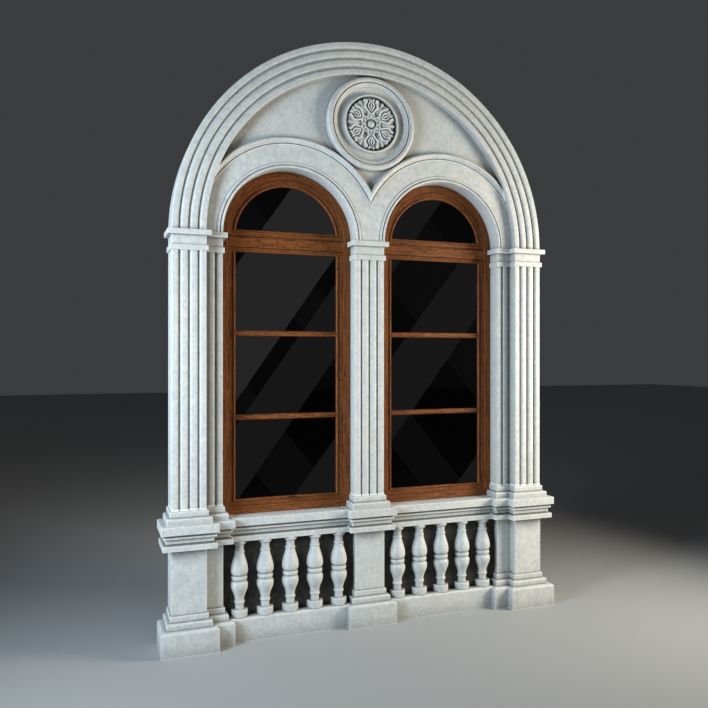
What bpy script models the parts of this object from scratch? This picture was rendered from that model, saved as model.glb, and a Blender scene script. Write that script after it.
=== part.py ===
# Arched twin window surround in stone with two arched timber windows.
# Metres, Z up, the front faces -Y, the origin is at the middle of the underside.
import math

import bmesh
import bpy
from mathutils import Matrix, Vector

# Overall sizes
DEPTH = 0.345                 # front of the outer plinths to the flat back
GAP = 0.0003                  # clearance between pieces that touch
MERGE = 0.00005               # points closer than this become one
PEDESTAL_HEIGHT = 1.0         # ground to the top of the caps and sills
SPRINGING_HEIGHT = 3.304      # top of the capitals, where all the arches start
BAY_WIDTH = 1.140             # clear width of each window opening
CENTRE_SHAFT = 0.267          # width of the pilaster between the windows
SIDE_SHAFT = 0.270            # width of the outer pilasters and of the great arch
HALF_SHAFT = 0.1412           # visible width of the narrow pilaster beside each outer one

# How far things stand forward
SHAFT_SETBACK = 0.0977        # plinth front to shaft front
SIDE_SETBACK = 0.0885         # plinth side to shaft side, outer piers
INNER_SETBACK = 0.0835        # plinth side to shaft side, inner piers
PIER_STEP = 0.0775            # outer piers stand this much in front of the inner ones
RAIL_STEP = 0.0615            # rails and sills lie this much behind the inner plinths
PANEL_FRONT = 0.225           # dark panels behind the balusters
TYMPANUM_FRONT = 0.170
FRAME_DEPTH = 0.045           # thickness of the window frames, in front of the flat back

# Pedestals
PLINTH_HEIGHT = 0.190
PLINTH_BEVEL = 0.022
FOOT_HEIGHT = 0.050           # each of the two base mouldings
LOWER_FOOT = 0.486            # projections as a share of the plinth projection
UPPER_FOOT = 0.18
DIE_FACE = 0.034
CAP_HEIGHT = 0.1915
CAP_FASCIA = 0.065
CAP_BAND = 0.030
CAP_NECK = 0.0475
CAP_LIP = 0.042
LIP_OUT = 0.851               # projections as a share of the plinth projection
NECK_SUNK = 0.576
BAND_OUT = 0.780
EASE = 0.004                  # softened edge of a moulding

# Balustrade
BALUSTERS = 5                 # in each bay
BALUSTER_END = 0.141          # bay edge to the first baluster axis
BALUSTER_SETBACK = 0.2115     # plinth front to baluster axis
BALUSTER_RADIUS = 0.0702
BALUSTER_SIDES = 10

# Pilasters and capitals
FLUTE_DEPTH = 0.017
FLUTE_HALF = 0.0065           # half width at the bottom of a flute
FLUTE_ROUND = 0.0205          # soft edge beside a flute
FLUTE_SHARES = (0.774, 0.5, 0.226)
SLIM_FLUTE_SHARES = (0.875, 0.40)
CORNER_ROUND = 0.008
ASTRAGAL_HEIGHT = 0.0425
NECK_HEIGHT = 0.076
ABACUS_HEIGHT = 0.042
ASTRAGAL_OUT = 0.153          # projections as a share of the plinth projection
ABACUS_OUT = 0.39
NECK_OUT = 0.012

# Arches
ARCH_STEPS = 28
RING_STEPS = 20
ARCHIVOLT_WIDTH = 0.256
BAND_FRONT = 0.157            # flat band of the small arches
ROLL_FRONT = 0.126            # outer roll of the small arches
ROUNDEL_STEPS = 28
EYE_RADIUS = 0.234            # clear hole of the roundel
ROUNDEL_FRONT = 0.112         # crest of its outer roll
ROSETTE_CLEAR = 0.013         # dark gap round the rosette
ROSETTE_RISE = 0.050
ROSETTE_STEPS = 36
LEAVES = 6
BUTTON = 0.16                 # radius of the button and of the cup round it, as shares
CUP = 0.22

# Windows
CASING = 0.062                # width of the outer frame
LIGHT_EDGE = 0.0655           # from the casing to the glass
TRANSOM_TOP = 0.061           # top of the transom above the springing
TRANSOM_BOTTOM = 0.126        # bottom of the transom below the springing
LOWER_RAIL = 0.1225           # sill to the bottom of the glass
TRANSOM_LAP = 0.048           # the upper light reaches this far down over the transom
TRANSOM_BEAD = 0.022          # bead along the bottom of the transom
HEAD_RAIL = 0.0217            # top rail of the lower light
MUNTIN = 0.046
PANES = 3                     # in each lower light
GLASS_SETBACK = 0.026         # behind the front of the frame
GLASS_THICK = 0.006

# Worked out from the sizes above
BAY_CENTRE = CENTRE_SHAFT / 2 + BAY_WIDTH / 2
SIDE_CENTRE = CENTRE_SHAFT / 2 + BAY_WIDTH + HALF_SHAFT + SIDE_SHAFT / 2
ARCH_INNER = SIDE_CENTRE - SIDE_SHAFT / 2
ARCH_OUTER = SIDE_CENTRE + SIDE_SHAFT / 2
OPENING = BAY_WIDTH / 2
SMALL_OUTER = OPENING + ARCHIVOLT_WIDTH
BALUSTER_PITCH = (BAY_WIDTH - 2 * BALUSTER_END) / (BALUSTERS - 1)
TANGENT = (BAY_CENTRE ** 2 + ARCH_INNER ** 2 - SMALL_OUTER ** 2) / (2 * (ARCH_INNER + SMALL_OUTER))
ROUNDEL_RADIUS = TANGENT - 4 * GAP
ROSETTE_RADIUS = EYE_RADIUS - ROSETTE_CLEAR
ROUNDEL_HEIGHT = SPRINGING_HEIGHT + ARCH_INNER - TANGENT
INNER_FRONT = SHAFT_SETBACK + PIER_STEP
FRAME_FRONT = DEPTH - FRAME_DEPTH
RAIL_FRONT = PIER_STEP + RAIL_STEP
CAP_BOTTOM = PEDESTAL_HEIGHT - CAP_HEIGHT
SHAFT_BOTTOM = PEDESTAL_HEIGHT + 2 * FOOT_HEIGHT
CAPITAL_HEIGHT = ASTRAGAL_HEIGHT + NECK_HEIGHT + ABACUS_HEIGHT
SHAFT_TOP = SPRINGING_HEIGHT - CAPITAL_HEIGHT


def depth(value):
    """Turns a distance behind the plinth front into a Y coordinate."""
    return value - DEPTH / 2


def clear_scene():
    for old in list(bpy.data.objects):
        bpy.data.objects.remove(old, do_unlink=True)


def make_collection(name):
    collection = bpy.data.collections.new(name)
    bpy.context.scene.collection.children.link(collection)
    return collection


def make_material(name, colour, roughness):
    material = bpy.data.materials.new(name)
    material.use_nodes = True
    shader = material.node_tree.nodes["Principled BSDF"]
    shader.inputs["Base Color"].default_value = (colour[0], colour[1], colour[2], 1.0)
    shader.inputs["Roughness"].default_value = roughness
    return material


def finish(bm, name, material, smooth=False, angle=40.0):
    """Writes a bmesh out as a named object of the surround."""
    bmesh.ops.recalc_face_normals(bm, faces=bm.faces[:])
    mesh = bpy.data.meshes.new(name)
    bm.to_mesh(mesh)
    bm.free()
    mesh.materials.append(material)
    obj = bpy.data.objects.new(name, mesh)
    SURROUND.objects.link(obj)
    if smooth:
        mesh.shade_smooth()
        mesh.set_sharp_from_angle(angle=math.radians(angle))
    return obj


def add_face(bm, points):
    """Fills a closed outline with one flat face that keeps the order of its points."""
    verts = [bm.verts.new(point) for point in points]
    edges = [bm.edges.new((verts[i - 1], verts[i])) for i in range(len(verts))]
    return bmesh.ops.edgeloop_fill(bm, edges=edges)["faces"][0]


def loft(name, levels, material):
    """Extrudes a plan outline upwards; levels is a list of (outline, height)."""
    bm = bmesh.new()
    outline, height = levels[0]
    face = add_face(bm, [(x, y, height) for x, y in outline])
    for step, (upper, upper_height) in enumerate(levels[1:]):
        result = bmesh.ops.extrude_face_region(bm, geom=[face])
        if step > 0:
            bmesh.ops.delete(bm, geom=[face], context="FACES_ONLY")
        new_verts = [item for item in result["geom"] if isinstance(item, bmesh.types.BMVert)]
        new_faces = [item for item in result["geom"] if isinstance(item, bmesh.types.BMFace)]
        targets = {}
        for vert in new_verts:
            nearest = min(range(len(outline)), key=lambda i: (Vector(outline[i]) - vert.co.xy).length)
            targets[vert] = nearest
        for vert, index in targets.items():
            vert.co = (upper[index][0], upper[index][1], upper_height)
        face = new_faces[0]
        outline = upper
    return finish(bm, name, material)


def ring_loft(name, rings, material):
    """Carries a closed section round a closed path; rings holds one loop of points per section point."""
    bm = bmesh.new()
    count = len(rings[0])
    first = [bm.verts.new(point) for point in rings[0]]
    edges = [bm.edges.new((first[i], first[(i + 1) % count])) for i in range(count)]
    previous = [Vector(point) for point in rings[0]]
    for ring in rings[1:] + [rings[0]]:
        result = bmesh.ops.extrude_edge_only(bm, edges=edges)
        verts = [item for item in result["geom"] if isinstance(item, bmesh.types.BMVert)]
        edges = [item for item in result["geom"] if isinstance(item, bmesh.types.BMEdge)]
        moves = []
        for vert in verts:
            nearest = min(range(count), key=lambda i: (previous[i] - vert.co).length)
            moves.append((vert, ring[nearest]))
        for vert, point in moves:
            vert.co = point
        ring_set = set(verts)
        edges = [edge for edge in edges if edge.verts[0] in ring_set and edge.verts[1] in ring_set]
        previous = [Vector(point) for point in ring]
    bmesh.ops.remove_doubles(bm, verts=bm.verts[:], dist=MERGE)
    return finish(bm, name, material, smooth=True, angle=30.0)


def spin_face(bm, section, centre, axis, angle, steps):
    """Turns a flat section through an angle to make part of a ring."""
    face = add_face(bm, section)
    geom = [face] + list(face.edges) + list(face.verts)
    bmesh.ops.spin(bm, geom=geom, cent=centre, axis=axis, angle=angle, steps=steps)


def add_box(name, x0, x1, y0, y1, z0, z1, material):
    bm = bmesh.new()
    place = Matrix.Translation(((x0 + x1) / 2, (y0 + y1) / 2, (z0 + z1) / 2))
    size = Matrix.Diagonal((x1 - x0, y1 - y0, z1 - z0, 1.0))
    bmesh.ops.create_cube(bm, size=1.0, matrix=place @ size)
    return finish(bm, name, material)


def cut(obj, cutter, operation):
    """Adds an exact Boolean and puts the cutter away from the picture."""
    modifier = obj.modifiers.new(cutter.name, "BOOLEAN")
    modifier.operation = operation
    modifier.solver = "EXACT"
    modifier.object = cutter
    cutter.hide_render = True
    cutter.display_type = "WIRE"
    SURROUND.objects.unlink(cutter)
    CUTTERS.objects.link(cutter)


def drum(name, radius, x, z, y0, y1, segments, material):
    """A cylinder lying along Y."""
    bm = bmesh.new()
    turn = Matrix.Rotation(math.radians(90.0), 4, "X")
    place = Matrix.Translation((x, (y0 + y1) / 2, z))
    bmesh.ops.create_cone(bm, cap_ends=True, segments=segments, radius1=radius, radius2=radius,
                          depth=y1 - y0, matrix=place @ turn)
    return finish(bm, name, material)


def side_plan(out, sign, notch=False):
    """Stepped plan of an outer pier and its narrow neighbour; out is a share of the plinth projection."""
    far = ARCH_OUTER + out * SIDE_SETBACK
    near = ARCH_INNER - out * SIDE_SETBACK
    inner = ARCH_INNER - HALF_SHAFT - out * INNER_SETBACK
    front = SHAFT_SETBACK - out * SHAFT_SETBACK
    step = front + PIER_STEP
    points = [(far, DEPTH), (far, front), (near, front), (near, step), (inner, step)]
    if notch:
        points.append((inner, FRAME_FRONT - GAP))
        points.append((ARCH_INNER - HALF_SHAFT, FRAME_FRONT - GAP))
        points.append((ARCH_INNER - HALF_SHAFT, DEPTH))
    else:
        points.append((inner, DEPTH))
    return [(sign * x, depth(y)) for x, y in points]


def centre_plan(out, notch=False):
    half = CENTRE_SHAFT / 2 + out * INNER_SETBACK
    front = INNER_FRONT - out * SHAFT_SETBACK
    if notch:
        stop = FRAME_FRONT - GAP
        edge = CENTRE_SHAFT / 2
        points = [(edge, DEPTH), (edge, stop), (half, stop), (half, front)]
        points += [(-half, front), (-half, stop), (-edge, stop), (-edge, DEPTH)]
    else:
        points = [(half, DEPTH), (half, front), (-half, front), (-half, DEPTH)]
    return [(x, depth(y)) for x, y in points]


def bay_plan(out, front, sign):
    """Plan of a rail lying between two inner piers."""
    left = CENTRE_SHAFT / 2 + out * INNER_SETBACK + GAP
    right = CENTRE_SHAFT / 2 + BAY_WIDTH - out * INNER_SETBACK - GAP
    points = [(left, DEPTH), (left, front), (right, front), (right, DEPTH)]
    return [(sign * x, depth(y)) for x, y in points]


def foot_levels(bottom, base_out, second_out, top_out):
    """Two rounded base mouldings as (projection, height) pairs."""
    first = bottom + FOOT_HEIGHT
    second = first + FOOT_HEIGHT
    levels = [(base_out, bottom), (base_out, bottom + 0.66 * FOOT_HEIGHT), (second_out + 0.06, first)]
    levels += [(second_out, first + 0.04 * FOOT_HEIGHT), (second_out, first + 0.68 * FOOT_HEIGHT)]
    levels += [(top_out, second)]
    return levels


def pedestal_levels():
    bevel = PLINTH_BEVEL / SIDE_SETBACK
    levels = [(1.0, 0.0), (1.0, PLINTH_HEIGHT - PLINTH_BEVEL)]
    levels += [(1.0 - 0.3 * bevel, PLINTH_HEIGHT - 0.3 * PLINTH_BEVEL), (1.0 - bevel, PLINTH_HEIGHT)]
    levels += foot_levels(PLINTH_HEIGHT + 0.6 * GAP, LOWER_FOOT, UPPER_FOOT, DIE_FACE)
    levels.append((DIE_FACE, CAP_BOTTOM - GAP))
    return levels


def cap_levels():
    """Lip, sunk neck, band and fascia of the caps and sills, from the bottom up."""
    lip = CAP_BOTTOM + CAP_LIP
    neck = lip + CAP_NECK
    band = neck + CAP_BAND
    levels = [(LIP_OUT, CAP_BOTTOM), (LIP_OUT, lip - EASE), (0.80, lip), (NECK_SUNK, lip + 0.003)]
    levels += [(NECK_SUNK, neck), (0.640, neck + EASE), (BAND_OUT, neck + 0.006)]
    levels += [(BAND_OUT, band), (BAND_OUT + 0.020, band + EASE), (1.0, PEDESTAL_HEIGHT - CAP_FASCIA)]
    levels += [(1.0, PEDESTAL_HEIGHT - EASE), (0.96, PEDESTAL_HEIGHT)]
    return levels


def capital_levels():
    bottom = SHAFT_TOP
    astragal = bottom + ASTRAGAL_HEIGHT
    neck = astragal + NECK_HEIGHT
    levels = [(ASTRAGAL_OUT - 0.04, bottom), (ASTRAGAL_OUT, bottom + 0.006)]
    levels += [(ASTRAGAL_OUT, astragal - 0.008), (ASTRAGAL_OUT - 0.06, astragal), (NECK_OUT, astragal + 0.001)]
    levels += [(NECK_OUT, neck - EASE), (0.05, neck)]
    levels += [(ABACUS_OUT, neck + 0.001), (ABACUS_OUT, SPRINGING_HEIGHT - EASE)]
    levels.append((ABACUS_OUT - 0.04, SPRINGING_HEIGHT))
    return levels


def flute_points(centre, face, sign=1.0):
    """Section of one flute with soft edges, from the low side of centre to the high side."""
    wide = FLUTE_HALF + FLUTE_ROUND
    middle = FLUTE_HALF + 0.42 * FLUTE_ROUND
    low = face + FLUTE_DEPTH
    shape = [(-wide, face), (-middle, face + 0.16 * FLUTE_DEPTH), (-FLUTE_HALF, face + 0.55 * FLUTE_DEPTH)]
    shape += [(-0.55 * FLUTE_HALF, low), (0.55 * FLUTE_HALF, low), (FLUTE_HALF, face + 0.55 * FLUTE_DEPTH)]
    shape += [(middle, face + 0.16 * FLUTE_DEPTH), (wide, face)]
    return [(centre + sign * x, y) for x, y in shape]


def side_shaft_plan(sign):
    """Fluted outer pilaster with the narrow one beside it, as one stone."""
    front = SHAFT_SETBACK
    step = INNER_FRONT
    edge = ARCH_INNER - HALF_SHAFT
    points = [(ARCH_OUTER, DEPTH), (ARCH_OUTER, front + CORNER_ROUND), (ARCH_OUTER - CORNER_ROUND, front)]
    for share in FLUTE_SHARES:
        points += flute_points(ARCH_INNER + share * SIDE_SHAFT, front, -1.0)
    points += [(ARCH_INNER + CORNER_ROUND, front), (ARCH_INNER, front + CORNER_ROUND)]
    points += [(ARCH_INNER, step + FLUTE_DEPTH), (ARCH_INNER - 0.7 * FLUTE_HALF, step + FLUTE_DEPTH)]
    groove = edge + SLIM_FLUTE_SHARES[0] * HALF_SHAFT
    points += [(groove - FLUTE_HALF, step + 0.55 * FLUTE_DEPTH)]
    points += [(groove - FLUTE_HALF - 0.42 * FLUTE_ROUND, step + 0.16 * FLUTE_DEPTH)]
    points += [(groove - FLUTE_HALF - FLUTE_ROUND, step)]
    points += flute_points(edge + SLIM_FLUTE_SHARES[1] * HALF_SHAFT, step, -1.0)
    points += [(edge + CORNER_ROUND, step), (edge, step + CORNER_ROUND), (edge, DEPTH)]
    return [(sign * x, depth(y)) for x, y in points]


def centre_shaft_plan():
    half = CENTRE_SHAFT / 2
    front = INNER_FRONT
    points = [(half, DEPTH), (half, front + CORNER_ROUND), (half - CORNER_ROUND, front)]
    for share in FLUTE_SHARES:
        points += flute_points((share - 0.5) * CENTRE_SHAFT, front, -1.0)
    points += [(-half + CORNER_ROUND, front), (-half, front + CORNER_ROUND), (-half, DEPTH)]
    return [(x, depth(y)) for x, y in points]


def build_pedestals(stone):
    for name, sign in (("left", -1.0), ("right", 1.0)):
        loft("pedestal_" + name, [(side_plan(out, sign), z) for out, z in pedestal_levels()], stone)
        loft("cap_" + name, [(side_plan(out, sign), z) for out, z in cap_levels()], stone)
    loft("pedestal_centre", [(centre_plan(out), z) for out, z in pedestal_levels()], stone)
    loft("cap_centre", [(centre_plan(out), z) for out, z in cap_levels()], stone)


def build_rails(stone, dark):
    """Base rails, sills and the dark panels, one of each in each bay."""
    for name, sign in (("left", -1.0), ("right", 1.0)):
        levels = []
        for out, z in pedestal_levels()[:4]:
            front = RAIL_FRONT + (1.0 - out) * SHAFT_SETBACK
            levels.append((bay_plan(out, front, sign), z))
        loft("base_rail_" + name, levels, stone)
        levels = []
        for out, z in cap_levels():
            front = RAIL_FRONT + (1.0 - out) * SHAFT_SETBACK
            levels.append((bay_plan(out, front, sign), z))
        loft("sill_" + name, levels, stone)
        base = PLINTH_HEIGHT + GAP
        ledge = foot_levels(PLINTH_HEIGHT + 0.6 * GAP, LOWER_FOOT, UPPER_FOOT, DIE_FACE)
        levels = [(bay_plan(LOWER_FOOT, PANEL_FRONT, sign), base)]
        levels += [(bay_plan(out, PANEL_FRONT, sign), z) for out, z in ledge[1:]]
        levels.append((bay_plan(DIE_FACE, PANEL_FRONT, sign), CAP_BOTTOM - GAP))
        loft("panel_" + name, levels, dark)


def baluster_profile():
    """Radius and height of the double vase, as shares of the radius and the free height."""
    shape = [(0.95, 0.0), (0.965, 0.085), (0.52, 0.097), (0.61, 0.195), (0.55, 0.225), (0.76, 0.314)]
    shape += [(1.0, 0.405), (0.96, 0.450), (0.80, 0.4745), (0.92, 0.510), (0.80, 0.546), (1.0, 0.62)]
    shape += [(0.82, 0.725), (0.59, 0.805), (0.61, 0.852), (0.51, 0.868), (0.51, 0.930), (0.79, 0.975)]
    shape.append((0.79, 1.0))
    return shape


def build_balusters(stone):
    """Turned on the lathe, then cut flat where they meet the panel."""
    base = PLINTH_HEIGHT + GAP
    free = CAP_BOTTOM - GAP - base
    back = PANEL_FRONT - GAP - BALUSTER_SETBACK
    number = 0
    for sign in (-1.0, 1.0):
        for place in range(BALUSTERS):
            number += 1
            x = sign * BAY_CENTRE + (place - (BALUSTERS - 1) / 2) * BALUSTER_PITCH
            bm = bmesh.new()
            section = [(0.0, 0.0, 0.0)]
            section += [(r * BALUSTER_RADIUS, 0.0, h * free) for r, h in baluster_profile()]
            section.append((0.0, 0.0, free))
            verts = [bm.verts.new(point) for point in section]
            edges = [bm.edges.new((verts[i], verts[i + 1])) for i in range(len(verts) - 1)]
            bmesh.ops.spin(bm, geom=verts + edges, cent=(0, 0, 0), axis=(0, 0, 1),
                           angle=2 * math.pi, steps=BALUSTER_SIDES)
            bmesh.ops.remove_doubles(bm, verts=bm.verts[:], dist=MERGE)
            geom = bm.verts[:] + bm.edges[:] + bm.faces[:]
            result = bmesh.ops.bisect_plane(bm, geom=geom, plane_co=(0, back, 0), plane_no=(0, 1, 0),
                                            clear_outer=True)
            rim = [item for item in result["geom_cut"] if isinstance(item, bmesh.types.BMEdge)]
            bmesh.ops.holes_fill(bm, edges=rim, sides=0)
            obj = finish(bm, "baluster_%02d" % number, stone, smooth=True, angle=38.0)
            obj.location = (x, depth(BALUSTER_SETBACK), base)


def build_pilasters(stone):
    """Bases, fluted shafts and capitals."""
    feet = foot_levels(PEDESTAL_HEIGHT + GAP, LOWER_FOOT, UPPER_FOOT, 0.03)
    shaft = (SHAFT_BOTTOM + 2 * GAP, SHAFT_TOP - GAP)
    for name, sign in (("left", -1.0), ("right", 1.0)):
        loft("pilaster_base_" + name, [(side_plan(out, sign, True), z) for out, z in feet], stone)
        loft("pilaster_" + name, [(side_shaft_plan(sign), z) for z in shaft], stone)
        loft("capital_" + name, [(side_plan(out, sign, True), z) for out, z in capital_levels()], stone)
    loft("pilaster_base_centre", [(centre_plan(out, True), z) for out, z in feet], stone)
    loft("pilaster_centre", [(centre_shaft_plan(), z) for z in shaft], stone)
    loft("capital_centre", [(centre_plan(out, True), z) for out, z in capital_levels()], stone)


def build_arch(stone):
    """Great arch with the fluted section of the outer pilasters."""
    face = SHAFT_SETBACK
    section = [(ARCH_OUTER, DEPTH), (ARCH_OUTER, face + CORNER_ROUND), (ARCH_OUTER - CORNER_ROUND, face)]
    for share in FLUTE_SHARES:
        points = flute_points(ARCH_INNER + share * SIDE_SHAFT, face, -1.0)
        section += [points[0], points[3], points[4], points[7]]
    section += [(ARCH_INNER + CORNER_ROUND, face), (ARCH_INNER, face + CORNER_ROUND), (ARCH_INNER, DEPTH)]
    bm = bmesh.new()
    start = SPRINGING_HEIGHT + GAP
    spin_face(bm, [(r, depth(y), start) for r, y in section], (0, 0, start), (0, -1, 0), math.pi, ARCH_STEPS)
    finish(bm, "great_arch", stone, smooth=True, angle=30.0)


def archivolt_section():
    """Radius and depth of the small arch mouldings, from the opening outwards."""
    width = ARCHIVOLT_WIDTH
    relief = BAND_FRONT - ROLL_FRONT
    shape = [(0.0, -0.20), (0.062, -0.32), (0.090, 0.06), (0.117, -0.26), (0.168, 0.0)]
    shape += [(0.758, 0.0), (0.805, -0.16), (0.832, 0.16), (0.860, -0.74), (0.906, -1.0)]
    shape += [(0.977, -0.55), (1.0, 0.10)]
    section = [(OPENING, DEPTH)]
    section += [(OPENING + share * width, BAND_FRONT + rise * relief) for share, rise in shape]
    section.append((SMALL_OUTER, DEPTH))
    return section


def build_archivolts(stone):
    """Two small arches meeting over the middle pilaster, cut to fit inside the great arch."""
    start = SPRINGING_HEIGHT + GAP
    bm = bmesh.new()
    section = [(-BAY_CENTRE + r, depth(y), start) for r, y in archivolt_section()]
    spin_face(bm, section, (-BAY_CENTRE, 0, start), (0, -1, 0), math.pi, RING_STEPS)
    geom = bm.verts[:] + bm.edges[:] + bm.faces[:]
    bmesh.ops.bisect_plane(bm, geom=geom, plane_co=(0, 0, 0), plane_no=(1, 0, 0), clear_outer=True)
    arches = finish(bm, "archivolts", stone, smooth=True, angle=30.0)
    mirror = arches.modifiers.new("both sides", "MIRROR")
    mirror.use_axis = (True, False, False)
    mirror.use_clip = True
    mirror.merge_threshold = 0.0001
    limit = drum("archivolt_limit", ARCH_INNER - GAP, 0.0, start, -2 * DEPTH, 2 * DEPTH, 2 * ARCH_STEPS,
                 stone)
    cut(arches, limit, "INTERSECT")


def build_tympanum(stone):
    """Wall panel between the great arch and the small ones."""
    start = SPRINGING_HEIGHT + GAP
    wall = drum("tympanum", ARCH_INNER - GAP, 0.0, start, depth(TYMPANUM_FRONT), depth(DEPTH),
                2 * ARCH_STEPS, stone)
    for name, sign in (("left", -1.0), ("right", 1.0)):
        hole = drum("tympanum_hole_" + name, SMALL_OUTER + GAP, sign * BAY_CENTRE, start,
                    -2 * DEPTH, 2 * DEPTH, 2 * RING_STEPS, stone)
        cut(wall, hole, "DIFFERENCE")
    floor = add_box("tympanum_floor", -2 * ARCH_OUTER, 2 * ARCH_OUTER, -2 * DEPTH, 2 * DEPTH, 0.0,
                    start + 0.25 * SMALL_OUTER, stone)
    cut(wall, floor, "DIFFERENCE")


def roundel_section():
    """Radius and depth of the ring: outer roll, hollow and inner ring."""
    width = ROUNDEL_RADIUS - EYE_RADIUS
    relief = TYMPANUM_FRONT - ROUNDEL_FRONT
    back = TYMPANUM_FRONT - GAP
    shape = [(1.0, 0.59), (0.95, 0.14), (0.86, 0.0), (0.75, 0.12), (0.705, 0.33), (0.67, 0.26)]
    shape += [(0.47, 0.62), (0.235, 0.76), (0.19, 0.34), (0.105, 0.17), (0.0, 0.31)]
    section = [(ROUNDEL_RADIUS, back)]
    section += [(EYE_RADIUS + share * width, ROUNDEL_FRONT + rise * relief) for share, rise in shape]
    section.append((EYE_RADIUS, back))
    return section


def build_roundel(stone):
    bm = bmesh.new()
    section = [(r, depth(y), ROUNDEL_HEIGHT) for r, y in roundel_section()]
    face = add_face(bm, section)
    geom = [face] + list(face.edges) + list(face.verts)
    bmesh.ops.spin(bm, geom=geom, cent=(0, 0, ROUNDEL_HEIGHT), axis=(0, -1, 0),
                   angle=2 * math.pi, steps=ROUNDEL_STEPS, use_merge=True)
    inside = [f for f in bm.faces if len(f.verts) > 4]
    bmesh.ops.delete(bm, geom=inside, context="FACES_ONLY")
    bmesh.ops.remove_doubles(bm, verts=bm.verts[:], dist=MERGE)
    finish(bm, "roundel", stone, smooth=True, angle=35.0)


def rosette_relief(radius, angle):
    """How far the carved leaves stand up at a place on the flower, from 0 to 1."""
    share = radius / ROSETTE_RADIUS
    sector = 360.0 / LEAVES
    off = abs(math.degrees(angle) % sector - sector / 2)
    leaf = math.cos(math.radians(min(90.0, 3.2 * off)))
    rib = math.exp(-(off / 4.0) ** 2)
    plume = math.cos(math.radians(min(90.0, 5.0 * (sector / 2 - off))))
    if share < BUTTON:
        return 0.95
    if share < CUP:
        return 0.12
    swell = math.exp(-((share - 0.74) / 0.26) ** 2)
    root = math.exp(-((share - 0.36) / 0.14) ** 2)
    height = 0.20 + 0.75 * leaf * swell - 0.16 * rib * swell + 0.42 * root
    height += 0.28 * plume * math.exp(-((share - 0.62) / 0.25) ** 2)
    return min(1.0, max(0.08, height))


def build_rosette(stone):
    """Carved flower of six leaves round a button, with a flat back."""
    back = depth(TYMPANUM_FRONT - GAP)
    shares = [0.0, 0.12, BUTTON, 0.19, 0.34, 0.50, 0.66, 0.80, 0.92, 1.0]
    bm = bmesh.new()
    edge = 0.08 * ROSETTE_RISE
    points = [(share * ROSETTE_RADIUS, back - edge, 0.0) for share in shares]
    points += [(ROSETTE_RADIUS, back, 0.0), (0.0, back, 0.0)]
    verts = [bm.verts.new(point) for point in points]
    edges = [bm.edges.new((verts[i], verts[i + 1])) for i in range(len(verts) - 1)]
    bmesh.ops.spin(bm, geom=verts + edges, cent=(0, 0, 0), axis=(0, 1, 0),
                   angle=2 * math.pi, steps=ROSETTE_STEPS)
    bmesh.ops.remove_doubles(bm, verts=bm.verts[:], dist=MERGE)
    for vert in bm.verts:
        radius = math.hypot(vert.co.x, vert.co.z)
        if vert.co.y < back - 0.5 * edge and radius < ROSETTE_RADIUS * 0.999:
            height = rosette_relief(radius, math.atan2(vert.co.z, vert.co.x))
            vert.co.y = back - edge - ROSETTE_RISE * height
    obj = finish(bm, "rosette", stone, smooth=True, angle=45.0)
    obj.location = (0.0, 0.0, ROUNDEL_HEIGHT)


def arched_ring(sign, inset, y, bottom):
    """Outline of an arched frame in the opening, as a loop of points."""
    radius = OPENING - GAP - inset
    x = sign * BAY_CENTRE
    start = SPRINGING_HEIGHT + GAP
    loop = [(x - radius, depth(y), bottom), (x + radius, depth(y), bottom)]
    for step in range(RING_STEPS + 1):
        angle = math.pi * step / RING_STEPS
        loop.append((x + radius * math.cos(angle), depth(y), start + radius * math.sin(angle)))
    return loop


def fan_ring(sign, radius, y, bottom):
    """Outline of the half round light above the transom."""
    x = sign * BAY_CENTRE
    start = SPRINGING_HEIGHT + GAP
    low = math.asin((bottom - start) / radius)
    loop = []
    for step in range(RING_STEPS + 1):
        angle = low + (math.pi - 2 * low) * step / RING_STEPS
        loop.append((x + radius * math.cos(angle), depth(y), start + radius * math.sin(angle)))
    return loop


def box_ring(sign, half, y, bottom, top):
    x = sign * BAY_CENTRE
    return [(x - half, depth(y), bottom), (x + half, depth(y), bottom),
            (x + half, depth(y), top), (x - half, depth(y), top)]


def light_section():
    """Width from the outside and depth for the moulded bars that hold the glass."""
    flat = FRAME_FRONT + 0.012
    edge = LIGHT_EDGE
    return [(0.0, DEPTH), (0.0, flat), (edge - 0.024, flat), (edge - 0.020, flat - 0.007),
            (edge - 0.008, flat - 0.008), (edge, flat + 0.002), (edge, DEPTH)]


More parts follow.
